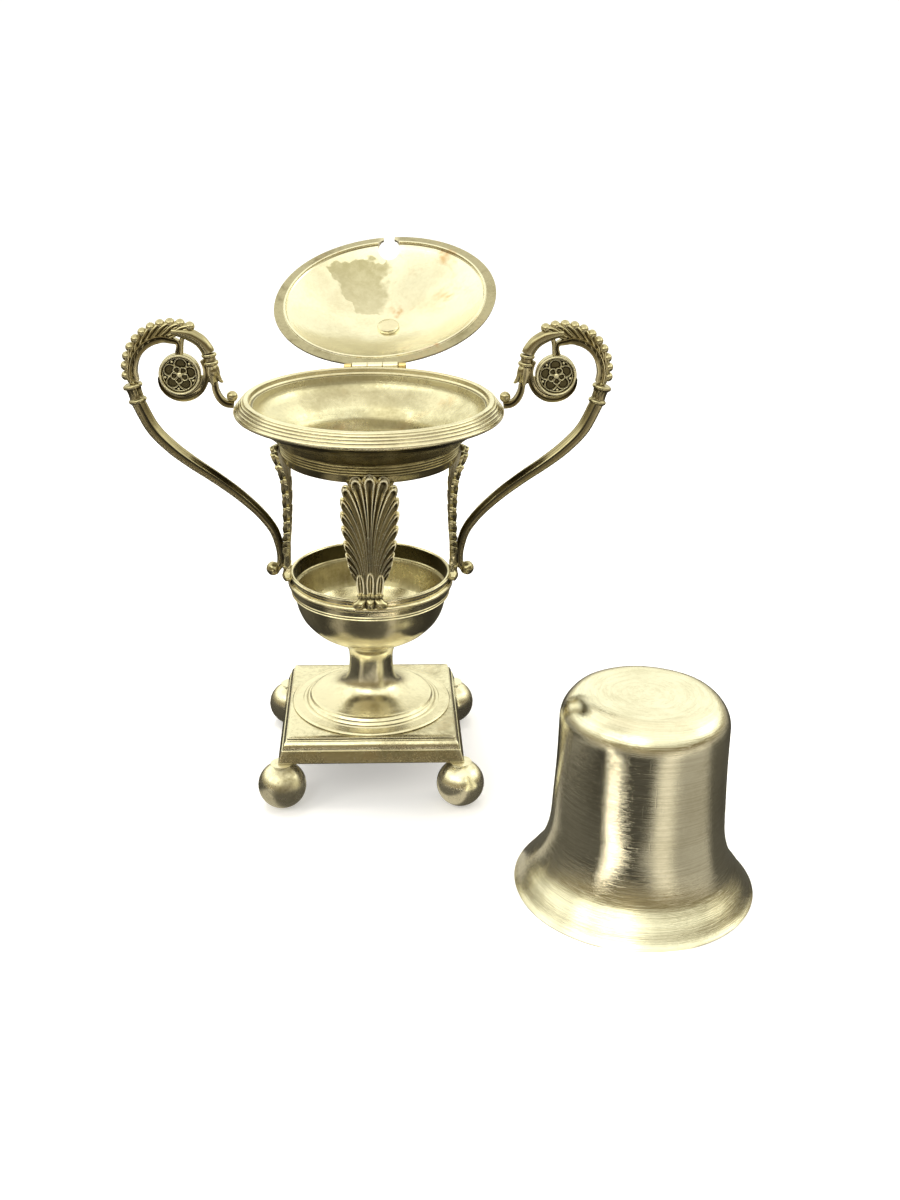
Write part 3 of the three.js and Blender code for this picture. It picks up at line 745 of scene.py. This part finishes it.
def roll(r, z, size, start, end, count=9):
    return [(r + size * cos(radians(a)), z + size * sin(radians(a)))
            for a in np.linspace(start, end, count)]


ring_outline = [(31.75, 93.4), (34.9, 93.55), *roll(35.78, 94.55, 0.62, -120, 75, 12),
    *roll(35.2, 95.45, 0.5, -20, 85), *roll(34.62, 96.2, 0.5, -20, 85), *roll(34.05, 96.9, 0.5, -20, 85),
    *roll(33.3, 97.35, 0.55, -15, 90), (32.5, mouth_z), (32.25, mouth_z - 0.2), (32.15, 96.6),
    (31.75, 96.3)]
make("mouth_ring", worn(lathe(ring_outline, 208, radius=0.08), 0.05, (2, 3, 5, 6), 8), satin, "collar_ring")

# ---- handles, drawn on +X
DISC = np.array([50.1, 104.1])
CREST = np.array([51.6, 105.0])


def at_crest(reach, degrees):
    t = radians(degrees)
    return CREST + reach * np.array([cos(t), sin(t)])


def ribbed(width, depth):
    """A flattened oval section: a bright rib near the upper edge of each face, and a flat run below it."""
    angle = circle(56)
    a = width * np.sign(np.cos(angle)) * np.abs(np.cos(angle)) ** 0.85
    b = depth * np.sign(np.sin(angle)) * np.abs(np.sin(angle)) ** 0.9
    place = a / width
    swell = (0.20 * np.exp(-((place - 0.42) / 0.16) ** 2) - 0.16 * np.exp(-((place + 0.05) / 0.2) ** 2)
             + 0.12 * np.exp(-((place + 0.72) / 0.14) ** 2))
    return np.stack([a, b + np.sign(b) * depth * swell * (np.abs(b) > 0.3 * depth)], axis=1)


BUD = (27.3, 48.4)


def handle_stem():
    path = spline([(61.75, 96.8), (58.2, 89.3), (53.4, 83.9), (48, 79.5), (42.1, 75.3), (36, 70.5),
        (30.6, 65.3), (26.9, 60.2), (25.4, 55.6), (25.0, 52.2), (25.25, 49.8), (26.2, 48.6)], 132)
    t = steps(132)
    half = np.interp(t, [0, 0.25, 0.55, 0.78, 0.9, 1], [1.9, 1.85, 1.6, 1.35, 1.2, 1.05])
    depth = np.interp(t, [0, 0.3, 0.75, 0.9, 1], [1.7, 1.6, 1.3, 1.2, 1.1])
    stroke = sweep(path, [ribbed(w, d) for w, d in zip(half, depth)])
    bud = ball(2.05, around=40)
    points = bud[0].copy()
    spin = np.arctan2(points[:, 2], points[:, 0])
    swell = np.abs(np.cos(2.5 * spin)) * np.clip(np.abs(points[:, 1]) / 2.0, 0, 1)
    points *= (1 + 0.10 * (swell - 0.6))[:, None]
    studs = [ball(0.55, BUD[0], y, BUD[1], around=14) for y in (-1.95, 1.95)]
    return merged(stroke, moved((points, bud[1]), BUD[0], 0, BUD[1]), *studs)


def ferrule_shell():
    outline = [(0, 0), (1.95, 0), (2.15, 0.15),
        *[(2.05 + 0.42 * sin(a), 0.72 - 0.5 * cos(a)) for a in np.linspace(0.2, 2.9, 8)], (1.95, 1.4),
        (1.85, 1.9), (1.85, 3.2), (2.0, 3.9), (2.15, 4.15),
        *[(2.2 + 0.45 * sin(a), 4.75 - 0.55 * cos(a)) for a in np.linspace(0.2, 2.9, 8)], (2.1, 5.45),
        (0, 5.6)]
    shell = lathe(outline, 60, loop=False, radius=0.05)
    points = shell[0].copy()
    drum = np.clip((points[:, 2] - 1.4) / 0.3, 0, 1) * np.clip((4.2 - points[:, 2]) / 0.3, 0, 1)
    flute = 1 + 0.045 * drum * np.cos(12 * round_axis(points))
    points[:, :2] *= flute[:, None]
    return aimed((points, shell[1]), 61.5, 96.2, 63, 101.8)


def channel(scale, thick):
    """Section of the smooth inner rib: a dished face with a thin raised outer edge, on both sides."""
    out = [1.05, 1.05, 0.95, 0.78, 0.6, 0.4, 0.1, -0.3, -0.7, -0.95, -1.05, -1.05]
    depth = [0.5, 1.4, 1.72, 1.75, 1.45, 1.15, 1.02, 1.08, 1.25, 1.3, 1.1, 0.4]
    a = np.array(out + out[::-1]) * scale
    b = np.array([-d for d in depth] + depth[::-1]) * thick
    return np.stack([a, b], axis=1)


def arch_shell():
    parts = []
    rib = [at_crest(r, a) for r, a in ((10.75, -15), (10.65, 0), (10.4, 18), (10.05, 36), (9.55, 54),
        (8.95, 72), (8.2, 86))]
    rib += [np.array([50.35, 112.6]), np.array([50.1, 111.4]), np.array([50.45, 110.0]),
        np.array([50.5, 109.3])]
    path = spline(rib, 90)
    t = steps(90)
    scale = np.interp(t, [0, 0.62, 0.8, 0.9, 1], [1.0, 1.0, 0.72, 0.5, 0.5])
    thick = np.interp(t, [0, 0.7, 0.9, 1], [1.0, 0.95, 0.7, 0.6])
    parts.append(sweep(path, [channel(s, k) for s, k in zip(scale, thick)]))
    for i in range(11):
        angle = -6 + 11.8 * i
        root = max(angle - 27, -17)
        inner = float(np.interp(root, [-17, 18, 54, 86], [10.9, 10.8, 10.1, 9.3]))
        leaf = spline([at_crest(inner, root), at_crest(inner + 0.75, root + (angle - root) * 0.35),
            at_crest(11.75, root + (angle - root) * 0.68), at_crest(12.75, angle)], 22)
        sections = []
        for s in steps(22):
            width = 0.42 + 0.62 * sin(pi * min(0.2 + 0.62 * s, 0.8))
            deep = 1.15 + 0.6 * sin(pi * (0.15 + 0.6 * s))
            section = oval(width, deep, 28)
            section[:, 1] *= 1 - 0.38 * np.exp(-((section[:, 0] / width + 0.2) / 0.3) ** 2)
            sections.append(section)
        parts.append(sweep(leaf, sections))
        tip = at_crest(12.7, angle)
        bead = ball(1.0, around=28)
        bead = (bead[0] * np.array([1.3, 1.65, 1.3]), bead[1])
        parts.append(moved(bead, tip[0], 0, tip[1]))
    back = [at_crest(r, a) for r, a in ((11.3, -12), (11.3, 10), (11.2, 40), (11.0, 70), (10.8, 92),
        (11.0, 104))]
    parts.append(sweep(spline(back, 50), [oval(1.25, 0.95, 16)] * 50))
    bar = spline([(51.6, 115.6), (49.6, 115.3), (47, 114.6), (44.4, 113.0), (42.85, 111.0), (42.4, 109.9)],
        40)
    parts.append(sweep(bar,
        [oval(w, 1.72, 32) for w in np.interp(steps(40), [0, 0.4, 1], [1.1, 1.7, 1.75])]))
    strut = spline([(48.7, 114.5), (49.25, 112.4), (49.5, 109.4)], 12)
    parts.append(sweep(strut, [oval(0.62, 0.75, 16)] * 12))
    return merged(*parts)


def band(radius, low, high, swell=0.3):
    middle, half = (low + high) / 2, (high - low) / 2
    return [(radius - swell + swell * sin(a), middle - half * cos(a)) for a in np.linspace(0.1, 3.04, 8)]


def calyx_shell():
    outline = [
        (0, 0.1), (1.0, 0.1), (1.5, 0.5), (1.75, 1.4), (1.95, 2.6), (1.95, 3.8), (1.7, 4.7), (1.6, 4.85),
        *band(2.15, 4.9, 5.9), (1.6, 6.1), (1.58, 6.9), *band(2.02, 7.1, 8.0), (0, 8.2),
    ]
    shell = lathe(outline, 60, loop=False, radius=0.05)
    points = shell[0].copy()
    spin = round_axis(points)
    bell = np.clip((4.7 - points[:, 2]) / 0.8, 0, 1)
    petal = np.abs(np.cos(1.5 * spin + pi / 4)) ** 0.6
    points[:, :2] *= (1 + 0.16 * bell * (petal - 0.65))[:, None]
    parts = [aimed((points, shell[1]), 41.2, 101.7, 42.3, 109.8)]
    curled = spline([(40.6, 106.2), (40.15, 104.6), (39.85, 103.2), (39.35, 102.2), (38.75, 101.9)], 20)
    parts.append(sweep(curled, [oval(w, d, 18) for w, d in zip(
        np.interp(steps(20), [0, 0.6, 0.85, 1], [0.35, 0.5, 0.5, 0.2]),
        np.interp(steps(20), [0, 0.5, 0.85, 1], [0.8, 1.25, 1.1, 0.4]))]))
    facing = spline([(41.9, 106.4), (41.75, 104.3), (41.5, 102.3), (41.3, 101.0)], 20)
    for y in (-1, 1):
        leaf = sweep(facing, [oval(w, 0.45, 16) for w in np.interp(
            steps(20), [0, 0.4, 0.8, 1], [0.75, 1.0, 0.6, 0.12])])
        parts.append(moved(leaf, 0, 1.6 * y, 0))
    return merged(*parts)


def hook_shell():
    path = spline([(41.1, 101.6), (40.75, 99.4), (39.7, 97.3), (38.2, 96.1), (36.2, 95.75)], 38)
    widths = np.interp(steps(38), [0, 0.5, 1], [0.78, 0.85, 0.82])
    stroke = sweep(path, [channel(w, 0.8) for w in widths])
    return merged(stroke, ball(1.5, 36.6, 0, 98.0, around=36))


def volute_shell():
    """The inner scroll: it leaves the calyx, passes under the rosette and dies into its rim."""
    t = steps(70)
    angle = np.radians(148 + 205 * t)
    reach = 7.05 - 1.45 * t ** 1.6
    path = DISC + reach[:, None] * np.stack([np.cos(angle), np.sin(angle)], axis=1)
    width = np.interp(t, [0, 0.15, 0.5, 0.85, 1], [0.5, 0.78, 0.85, 0.5, 0.15])
    web = DISC + (reach[:, None] - 0.95) * np.stack([np.cos(angle), np.sin(angle)], axis=1)
    return merged(sweep(path, [channel(w, 0.9) for w in width]),
        sweep(web[12:60], [oval(0.75, 0.5, 14)] * 48))


def rosette_shell():
    reach = np.concatenate([np.linspace(0, 4.6, 62), np.linspace(4.68, 5.55, 16)])
    spin = circle(160)
    rho, theta = np.meshgrid(reach, spin, indexing="ij")
    x, y = rho * np.cos(theta), rho * np.sin(theta)

    def flower(count, centre, radius, start, lip):
        """Height of a ring of hollow petals with raised outlines, and where it lies."""
        spots = [radians(start + 360 / count * k) for k in range(count)]
        d = np.sort([np.hypot(x - centre * cos(a), y - centre * sin(a)) for a in spots], axis=0)
        inside = radius - d[0]
        seam = (d[1] - d[0]) / 2
        edge = np.minimum(inside, seam * 1.2 + 0.05)
        height = lip * np.exp(-((edge - 0.2) / 0.2) ** 2) + 0.1 * np.clip(edge, 0, 0.6) / 0.6
        return np.where(inside > 0, height, 0), np.clip(inside / 0.12, 0, 1)

    outer, outer_mask = flower(5, 2.75, 1.8, 97, 0.6)
    inner, inner_mask = flower(5, 1.3, 1.2, 97 + 36, 0.5)
    h = 0.5 + 0.05 * outer_mask + outer
    h = h * (1 - inner_mask) + (0.85 + inner) * inner_mask
    boss = 1.0 + 0.8 * np.sqrt(np.clip(1 - (rho / 0.82) ** 2, 0, 1))
    h = np.where(rho < 0.82, np.maximum(h, boss), h)
    for k in range(5):
        a = radians(97 + 36 + 72 * k)
        d = np.hypot(x - 3.9 * cos(a), y - 3.9 * sin(a))
        bead = 0.6 + 0.5 * np.sqrt(np.clip(1 - (d / 0.42) ** 2, 0, 1))
        h = np.where(d < 0.42, np.maximum(h, bead), h)
    h = np.maximum(h, 0.55 + 0.42 * np.exp(-((rho - 4.42) / 0.16) ** 2))
    lip = 0.62 + 1.0 * np.sqrt(np.clip(1 - ((rho - 5.1) / 0.47) ** 2, 0, 1))
    h = np.where(rho > 4.66, lip, h)
    face = np.stack([x, -h, y], axis=2)
    other = face * np.array([1, -1, 1])
    rings = np.concatenate([face[1:], other[:0:-1]])
    shell = loft(rings, ends=(face[0, 0], other[0, 0]))
    return moved(shell, DISC[0], 0, DISC[1])


def rosette_ground(at):
    """The sunk parts of the rosettes: the field, and the hollows of the petals."""
    reach = np.hypot(np.abs(at[:, 0]) - DISC[0], at[:, 2] - DISC[1])
    return (reach < 4.6) & (np.abs(at[:, 1]) < np.where(reach < 2.5, 1.02, 0.74))


for side, degrees in (("right", 0), ("left", 180)):
    for label, shape, node in (("scroll", handle_stem, "handle_stem"),
            ("ferrule", ferrule_shell, "ferrule"), ("crest", arch_shell, "arch"),
            ("calyx", calyx_shell, "calyx"), ("hook", hook_shell, "hook"),
            ("volute", volute_shell, "volute")):
        make(f"handle_{label}_{side}", placed(shape(), turned(degrees)), cast, f"{node}_{side}", sharp=55,
            blur=2)
    make(f"handle_rosette_{side}", placed(rosette_shell(), turned(degrees)), rosette_cast,
        f"rosette_{side}", sharp=55, blur=1, zones=((rosette_field, rosette_ground),))

# ---- hinge
pin_point = Vector(hinge["pos_m"]) / MM
pin_axis = Vector(hinge["axis"]).normalized()
away = Vector((-pin_axis.y, pin_axis.x, 0)).normalized()
up = pin_axis.cross(away)
SHIFT = -1.1
hinge_matrix = Matrix.Translation(pin_point) @ Matrix((pin_axis, away, up)).transposed().to_4x4()
hinge_fixed = hinge_matrix @ Matrix.Translation((SHIFT, 0, 0))
lid_open = Matrix.Translation(pin_point) @ Matrix.Rotation(
    -radians(hinge["range_deg"][1]), 4, pin_axis) @ Matrix.Translation(-pin_point)
KNUCKLE = 4.35
KNUCKLE_R = 1.25
along_x = turned(90, "Y")


def knuckle_shell(x0, x1):
    outline = [(0.85, x0), (KNUCKLE_R, x0), (KNUCKLE_R, x1), (0.85, x1)]
    return placed(lathe(outline, 40, radius=0.14), along_x)


def slab(x0, x1, y0, y1, z0, z1, corner=0.12):
    """A plate with softened edges."""
    centre = np.array([(x0 + x1) / 2, (y0 + y1) / 2, (z0 + z1) / 2])
    half = np.array([abs(x1 - x0) / 2, abs(y1 - y0) / 2, abs(z1 - z0) / 2])
    rings = []
    edge = 1 - corner / half[2]
    for dz, inset in ((-1, 1.0), (-1, 0.35), (-edge, 0.0), (edge, 0.0), (1, 0.35), (1, 1.0)):
        a, b = half[0] - corner * inset, half[1] - corner * inset
        c = min(corner, a * 0.9, b * 0.9)
        ring = []
        for sx, sy, start in ((1, 1, 0), (-1, 1, 90), (-1, -1, 180), (1, -1, 270)):
            for t in (0, 45, 90):
                q = radians(start + t)
                ring.append((sx * (a - c) + c * cos(q), sy * (b - c) + c * sin(q), half[2] * dz))
        rings.append(ring)
    return moved(loft(np.array(rings)), *centre)


half_knuckle = KNUCKLE / 2 + 0.15
far = half_knuckle + KNUCKLE
plate_low = -KNUCKLE_R - 2.6
leaf_parts = [slab(-far, far, -0.55, 0.35, plate_low, -KNUCKLE_R - 0.75)]
for x0 in (half_knuckle, -far):
    leaf_parts.append(knuckle_shell(x0, x0 + KNUCKLE))
    leaf_parts.append(slab(x0 + 0.05, x0 + KNUCKLE - 0.05, -0.5, 0.3, plate_low + 0.4, -0.9))
make("hinge_leaf_fixed", merged(*leaf_parts), satin, "hinge_leaf_collar", place=hinge_fixed)

pin_end = 1.5 * KNUCKLE + 0.35
pin_half = [(0.55, pin_end), (0.95, pin_end + 0.1), (0.95, pin_end + 2.0), (0.8, pin_end + 2.2),
    (0, pin_end + 2.2)]
pin_outline = [(r, -z) for r, z in reversed(pin_half)] + pin_half
make("hinge_pin_brass", placed(lathe(pin_outline, 32, loop=False, radius=0.06), along_x), brass,
    "hinge_pin", place=hinge_fixed)

LID_R = 34.84
LID_Z = 98.2
LID_RISE = 11.4
reach_back = LID_R + 0.4 - 37.3
tongue = merged(knuckle_shell(-KNUCKLE / 2, KNUCKLE / 2), slab(-KNUCKLE / 2 + 0.05, KNUCKLE / 2 - 0.05,
    reach_back - 0.3, -0.5, LID_Z - pin_point.z + 0.02, LID_Z - pin_point.z + 0.62))
make("hinge_tongue", tongue, satin, "hinge_leaf_lid", "lid", place=lid_open @ hinge_fixed)

# ---- lid, drawn closed and level, then swung open
lid_turn = Matrix.Rotation(atan2(pin_axis.y, pin_axis.x), 4, "Z")
lid_place = lid_open @ lid_turn
SKIN = 0.8


def dome_height(r):
    return LID_Z + LID_RISE * np.cos(np.clip(r / 31.2, 0, 1) * pi / 2) ** 0.85


dome_r = np.concatenate([np.linspace(0, 24, 26), np.linspace(24.6, 30.2, 14)])
lid_inner = [(r, float(dome_height(r))) for r in dome_r]
lid_outer = [(r, float(dome_height(r)) + SKIN) for r in dome_r]
lid_outline = [*lid_inner, (30.75, LID_Z + 0.55), (31.05, LID_Z + 0.1), (31.1, LID_Z - 0.45),
    (31.65, LID_Z - 0.45), (31.8, LID_Z - 0.02), (32.3, LID_Z + 0.05), (34.1, LID_Z), (34.75, LID_Z + 0.02),
    (LID_R, LID_Z + 0.3), (34.7, LID_Z + 0.68), (34.0, LID_Z + 0.74), (32.6, LID_Z + 0.72),
    (32.2, LID_Z + 1.0), (31.7, LID_Z + 1.25), (31.1, LID_Z + 1.3), *reversed(lid_outer)]
EYE_R = 3.55
EYE_AT = LID_R - 4.9
THROAT = 1.75


def keyhole_shell():
    """The spoon slot: a throat at the rim that opens into a round eye, opposite the hinge."""
    open_angle = asin(THROAT / EYE_R)
    arc = np.linspace(pi / 2 + open_angle, 2.5 * pi - open_angle, 44)
    outline = [(THROAT + 0.4, LID_R + 2), (-THROAT - 0.4, LID_R + 2), (-THROAT - 0.03, LID_R - 0.5)]
    outline += [(EYE_R * cos(a), EYE_AT + EYE_R * sin(a)) for a in arc]
    outline += [(THROAT + 0.03, LID_R - 0.5)]
    flat = np.array(outline)
    rings = [np.stack([-flat[:, 0], -flat[:, 1], np.full(len(flat), z)],
        axis=1) for z in (LID_Z - 6, LID_Z + 20)]
    return loft(rings)


lid_shell = worn(lathe(lid_outline, 216, loop=False, radius=0.1), 0.06, (2, 3, 4, 6), 21)
lid_points = lid_shell[0].copy()
x, y, z = lid_points.T
dents = 0.10 * np.sin(0.19 * x + 0.5) * np.sin(0.16 * y + 1.1) + 0.05 * np.sin(0.33 * x - 0.27 * y)
z += np.clip(1 - from_axis(lid_points) / 30, 0, 1) * dents


def cut_away(shell, tool):
    """The first shell less the second."""
    body = add_object("uncut", new_mesh("uncut", shell))
    knife = add_object("knife", new_mesh("knife", tool))
    modifier = body.modifiers.new("cut", "BOOLEAN")
    modifier.operation, modifier.solver, modifier.object = "DIFFERENCE", "EXACT", knife
    bpy.context.view_layer.update()
    done = bpy.data.meshes.new_from_object(body.evaluated_get(bpy.context.evaluated_depsgraph_get()))
    points = np.array([v.co for v in done.vertices], float) / MM
    faces = [tuple(p.vertices) for p in done.polygons]
    for extra in (body, knife):
        bpy.data.objects.remove(extra)
    return points, faces


FLANGE_R = 31.9
lid_cut = cut_away((lid_points, lid_shell[1]), keyhole_shell())
make("lid_dome", lid_cut, lid_silver, "lid", "lid", place=lid_place, sharp=38,
     zones=((flange_silver, lambda at: from_axis(at) > FLANGE_R),))

nut_face = LID_Z + LID_RISE - 0.12
nut_outline = [(0, nut_face - 1.25), (1.6, nut_face - 1.2), (2.7, nut_face - 1.1), (3.25, nut_face - 0.95),
    (3.45, nut_face - 0.7), (3.45, nut_face), (0, nut_face)]
make("finial_washer", lathe(nut_outline, 64, loop=False, radius=0.1), satin, "finial_nut", "lid",
    place=lid_place)


def finial_shell():
    top = LID_Z + LID_RISE + SKIN + 0.15
    stalk = lathe([(0, top - 1.0), (1.0, top - 1.0), (1.0, top - 0.05), (4.0, top - 0.05), (4.2, top + 0.3),
        (4.15, top + 0.85), (3.5, top + 1.2), (2.4, top + 1.7), (1.7, top + 2.7), (1.4, top + 3.9),
        (1.45, top + 4.9), *band(2.9, top + 5.3, top + 6.5, 0.5), (2.0, top + 7.0), (2.2, top + 7.5),
        (0, top + 7.6)], 72, loop=False, radius=0.1)
    rows, around = 90, 120
    t = steps(rows)
    profile = spline([(1.9, 7.2), (3.4, 8.9), (4.3, 11.6), (4.0, 14.3), (2.8, 16.9), (1.2, 18.9),
        (0.25, 19.5)], rows)
    angle = circle(around)
    turns = t[:, None] * 7.0
    spin = angle[None, :] / (2 * pi) * 8
    lattice = np.abs(np.sin(pi * (spin + turns))) * np.abs(np.sin(pi * (spin - turns)))
    reach = profile[:, :1] * (0.90 + 0.12 * lattice ** 0.5) - 0.02
    rings = np.stack([reach * np.cos(angle), reach * np.sin(angle),
        np.repeat(profile[:, 1:], around, axis=1) + top], axis=2)
    return merged(stalk, loft(rings))


make("finial_bud", finial_shell(), cast, "finial", "lid", place=lid_place, sharp=55)

# ---- loose cup, mouth down
CUP_H = cup_high[2] - cup_low[2]
SHOULDER = 7.6
CUP_TOP_R = 21.0
CUP_WALL = 0.8
cup_curve = spline([(30.75, 0.25), (29.7, 1.4), (28.0, 3.9), (26.1, 6.5), (24.6, 9), (23.1, 13), (22.1, 18),
    (21.65, 26), (21.2, 36), (CUP_TOP_R, CUP_H - SHOULDER)], 80)


def shoulder_arc(radius, count):
    middle = CUP_TOP_R - SHOULDER
    return [(middle + radius * cos(a) ** 0.94, CUP_H - SHOULDER + radius * sin(a) ** 0.98)
            for a in np.linspace(0.06, pi / 2 - 0.03, count)]


crown = [(r, CUP_H) for r in (12.6, 11.2, 9.0, 6.5, 4.0, 2.0)]
outer = [*cup_curve, *shoulder_arc(SHOULDER, 26), *crown]
inner = [(r - CUP_WALL, z) for r, z in cup_curve[2:]]
inner += shoulder_arc(SHOULDER - CUP_WALL, 22)
inner += [(r, CUP_H - CUP_WALL) for r, _ in crown]
cup_outline = [(0, CUP_H - CUP_WALL), *reversed(inner), (30.0, 0.12), (30.15, 0.0), (30.6, 0.0), *outer,
    (0, CUP_H)]
cup_shell = worn(lathe(cup_outline, 224, loop=False, radius=0.1), 0.07, (2, 3, 5, 8), 33)
cup_points = cup_shell[0].copy()
x, y, z = cup_points.T
dents = 0.12 + 0.08 * np.sin(0.23 * x + 0.7) * np.sin(0.2 * y - 0.9) + 0.04 * np.sin(0.41 * x + 0.3 * y)
z -= np.clip((z - CUP_H + 9) / 6, 0, 1) * dents
make("cup_bell", (cup_points, cup_shell[1]), cup_silver, "cup", "cup",
     place=Matrix.Translation((cup_centre[0], cup_centre[1], floor_z)))

# ---- fixings under the plinth stay as the frame has them
for node in ("stem_nut", "stem_stud"):
    kept = frame["nodes"][node]
    kept.data.materials.clear()
    kept.data.materials.append(brass)

# ---- floor and backdrop
floor_mesh = bpy.data.meshes.new("floor")
floor_mesh.from_pydata([(-30, -3, 0), (30, -3, 0), (30, 70, 0), (-30, 70, 0)], [], [(0, 1, 2, 3)])
floor = add_object("floor", floor_mesh)
floor.location.z = float(floor_z) * MM

floor_look = bpy.data.materials.new("floor_look")
floor_mesh.materials.append(floor_look)
g = Graph(floor_look)
spot = g.grow("TexCoord", out="Object")
east, north, _ = g.axes(spot)
paper = g.grow("BsdfDiffuse", {"Color": (0.82, 0.81, 0.79)})
lift = g.grow("Emission", {"Color": (1.0, 0.995, 0.98), "Strength": 0.30})
seen = g.grow("AddShader", {0: paper, 1: lift})


def bearing(x, y):
    """Angle round a point of the floor, from dead front and rising to the right."""
    return g.maths("ARCTAN2", east - x, y - north)


def patch_at(angle, low, high, soft):
    """One between two bearings in degrees, fading to nothing outside them."""
    middle, half = radians((low + high) / 2), radians((high - low) / 2)
    return g.maths("ABSOLUTE", angle - middle).remap(half + radians(soft), half)


# What the silver mirrors of the floor: a dim tan, a bright stripe and a pale wedge beside the cup, two paler
# wedges in front of the vessel, and light from farther away.
cup_bearing = bearing(cup_centre[0] * MM, cup_centre[1] * MM)
body_bearing = bearing(0.0, 0.0)
slant = east * 0.541 - north * 0.841
onward = east * 0.841 + north * 0.541
stripe = g.maths("ABSOLUTE", slant - 0.1145).remap(0.0075, 0.004) * onward.remap(0.035, 0.015)
away = g.grow("VectorMath", {0: spot}, out="Value", operation="LENGTH")
ground = 0.0
for pattern, strength in ((g.noise(7.0, spot, 2.0, 0.5).remap(0.35, 0.7), 0.09), (stripe, 3.6),
        (patch_at(cup_bearing, 10, 77, 3), 0.34), (patch_at(body_bearing, 28, 38, 2), 0.45),
        (patch_at(body_bearing, -58, -44, 6), 0.35), (away.remap(0.2, 0.6), 0.5)):
    ground = ground + pattern * strength
mirrored = g.grow("Emission", {"Color": (1.0, 0.92, 0.70), "Strength": ground + 0.045})
glossy = g.grow("LightPath", out="Is Glossy Ray")
g.shown("OutputMaterial", g.shaders_mixed(glossy, seen, mirrored))

# ---- light: the camera sees plain white, mirror reflections see a warm room, and the rest sees soft light
scene = bpy.context.scene
scene.world = bpy.data.worlds.new("studio")
g = Graph(scene.world)
direction = g.grow("TexCoord", out="Generated")
_, northward, upward = g.axes(direction)
room = g.grow("ValToRGB", {0: upward + northward * 0.22})
stops = room.socket.node.color_ramp.elements
stops[0].position, stops[0].color = 0.0, (0.22, 0.18, 0.10, 1)
stops[1].position, stops[1].color = 1.0, (0.74, 0.71, 0.54, 1)
for position, colour in (
    (0.10, (0.15, 0.125, 0.065, 1)), (0.24, (0.34, 0.30, 0.18, 1)), (0.38, (0.95, 0.93, 0.70, 1)),
    (0.5, (1.0, 1.0, 0.77, 1)), (0.75, (0.92, 0.90, 0.69, 1)),
):
    stops.new(position).color = colour
shade = g.noise(1.6, direction, 2.0, 0.5).remap(0.36, 0.6, 1.7, 1.3)
for aim, strength in (((-0.28, -0.75, 0.58), 1.3), ((-0.62, -0.42, 0.5), 0.8), ((0.72, 0.05, 0.33), 0.9)):
    glow = g.grow("VectorMath", {0: direction, 1: Vector(aim).normalized()}, out="Value",
        operation="DOT_PRODUCT")
    shade = shade + glow.remap(0.93, 0.995) * strength
room_light = g.grow("Background", {"Color": room, "Strength": shade})
soft_light = g.grow("Background", {"Color": (1.0, 0.985, 0.95), "Strength": 0.95})
plain = g.grow("Background", {"Color": (1.0, 1.0, 1.0), "Strength": 1.05})
seen = g.shaders_mixed(g.grow("LightPath", out="Is Camera Ray"), soft_light, plain)
g.shown("OutputWorld", g.shaders_mixed(g.grow("LightPath", out="Is Glossy Ray"), seen, room_light))

VESSEL = (0, 0, 0.05)
BETWEEN = (0.02, -0.02, 0.04)
WARM = (1.0, 0.97, 0.9)
for name, place, aim, width, height, power, colour in (
    ("overhead", (-0.12, 0.22, 0.85), BETWEEN, 0.55, 0.4, 6.0, WARM),
    ("key_left", (-0.62, -0.42, 0.5), VESSEL, 0.16, 0.5, 1.2, WARM),
    ("rim_right", (0.72, 0.05, 0.35), VESSEL, 0.08, 0.55, 1.2, (1.0, 0.93, 0.8)),
    ("window", (-0.28, -0.75, 0.62), (0.02, -0.03, 0.04), 0.2, 0.4, 1.2, (0.95, 0.98, 1.0)),
):
    lamp = bpy.data.lights.new(name, "AREA")
    lamp.shape, lamp.size, lamp.size_y = "RECTANGLE", width, height
    lamp.energy, lamp.color = power, colour
    obj = add_object(name, lamp)
    obj.location = place
    obj.rotation_mode = "QUATERNION"
    obj.rotation_quaternion = (Vector(aim) - Vector(place)).to_track_quat("-Z", "Y")
    obj.visible_glossy = False

# ---- camera at the photograph's place
PITCH, YAW, ROLL = 0.404422, 0.055887, 0.016823
CAMERA_PLACE = (0.001684, -0.374389, 0.198906)
FOCAL_MM, SENSOR_MM = 42.788, 36
ahead = Vector((sin(YAW) * cos(PITCH), cos(YAW) * cos(PITCH), -sin(PITCH)))
level_right = Vector((cos(YAW), -sin(YAW), 0))
level_up = level_right.cross(ahead)
right = level_right * cos(ROLL) + level_up * sin(ROLL)
camera_up = level_up * cos(ROLL) - level_right * sin(ROLL)
lens = bpy.data.cameras.new("camera")
lens.lens, lens.sensor_width, lens.sensor_fit = FOCAL_MM, SENSOR_MM, "AUTO"
lens.clip_start, lens.clip_end = 0.01, 50
camera = add_object("camera", lens)
facing = Matrix((right, camera_up, -ahead)).transposed().to_4x4()
camera.matrix_world = Matrix.Translation(CAMERA_PLACE) @ facing
scene.camera = camera
scene.view_settings.view_transform = "Standard"
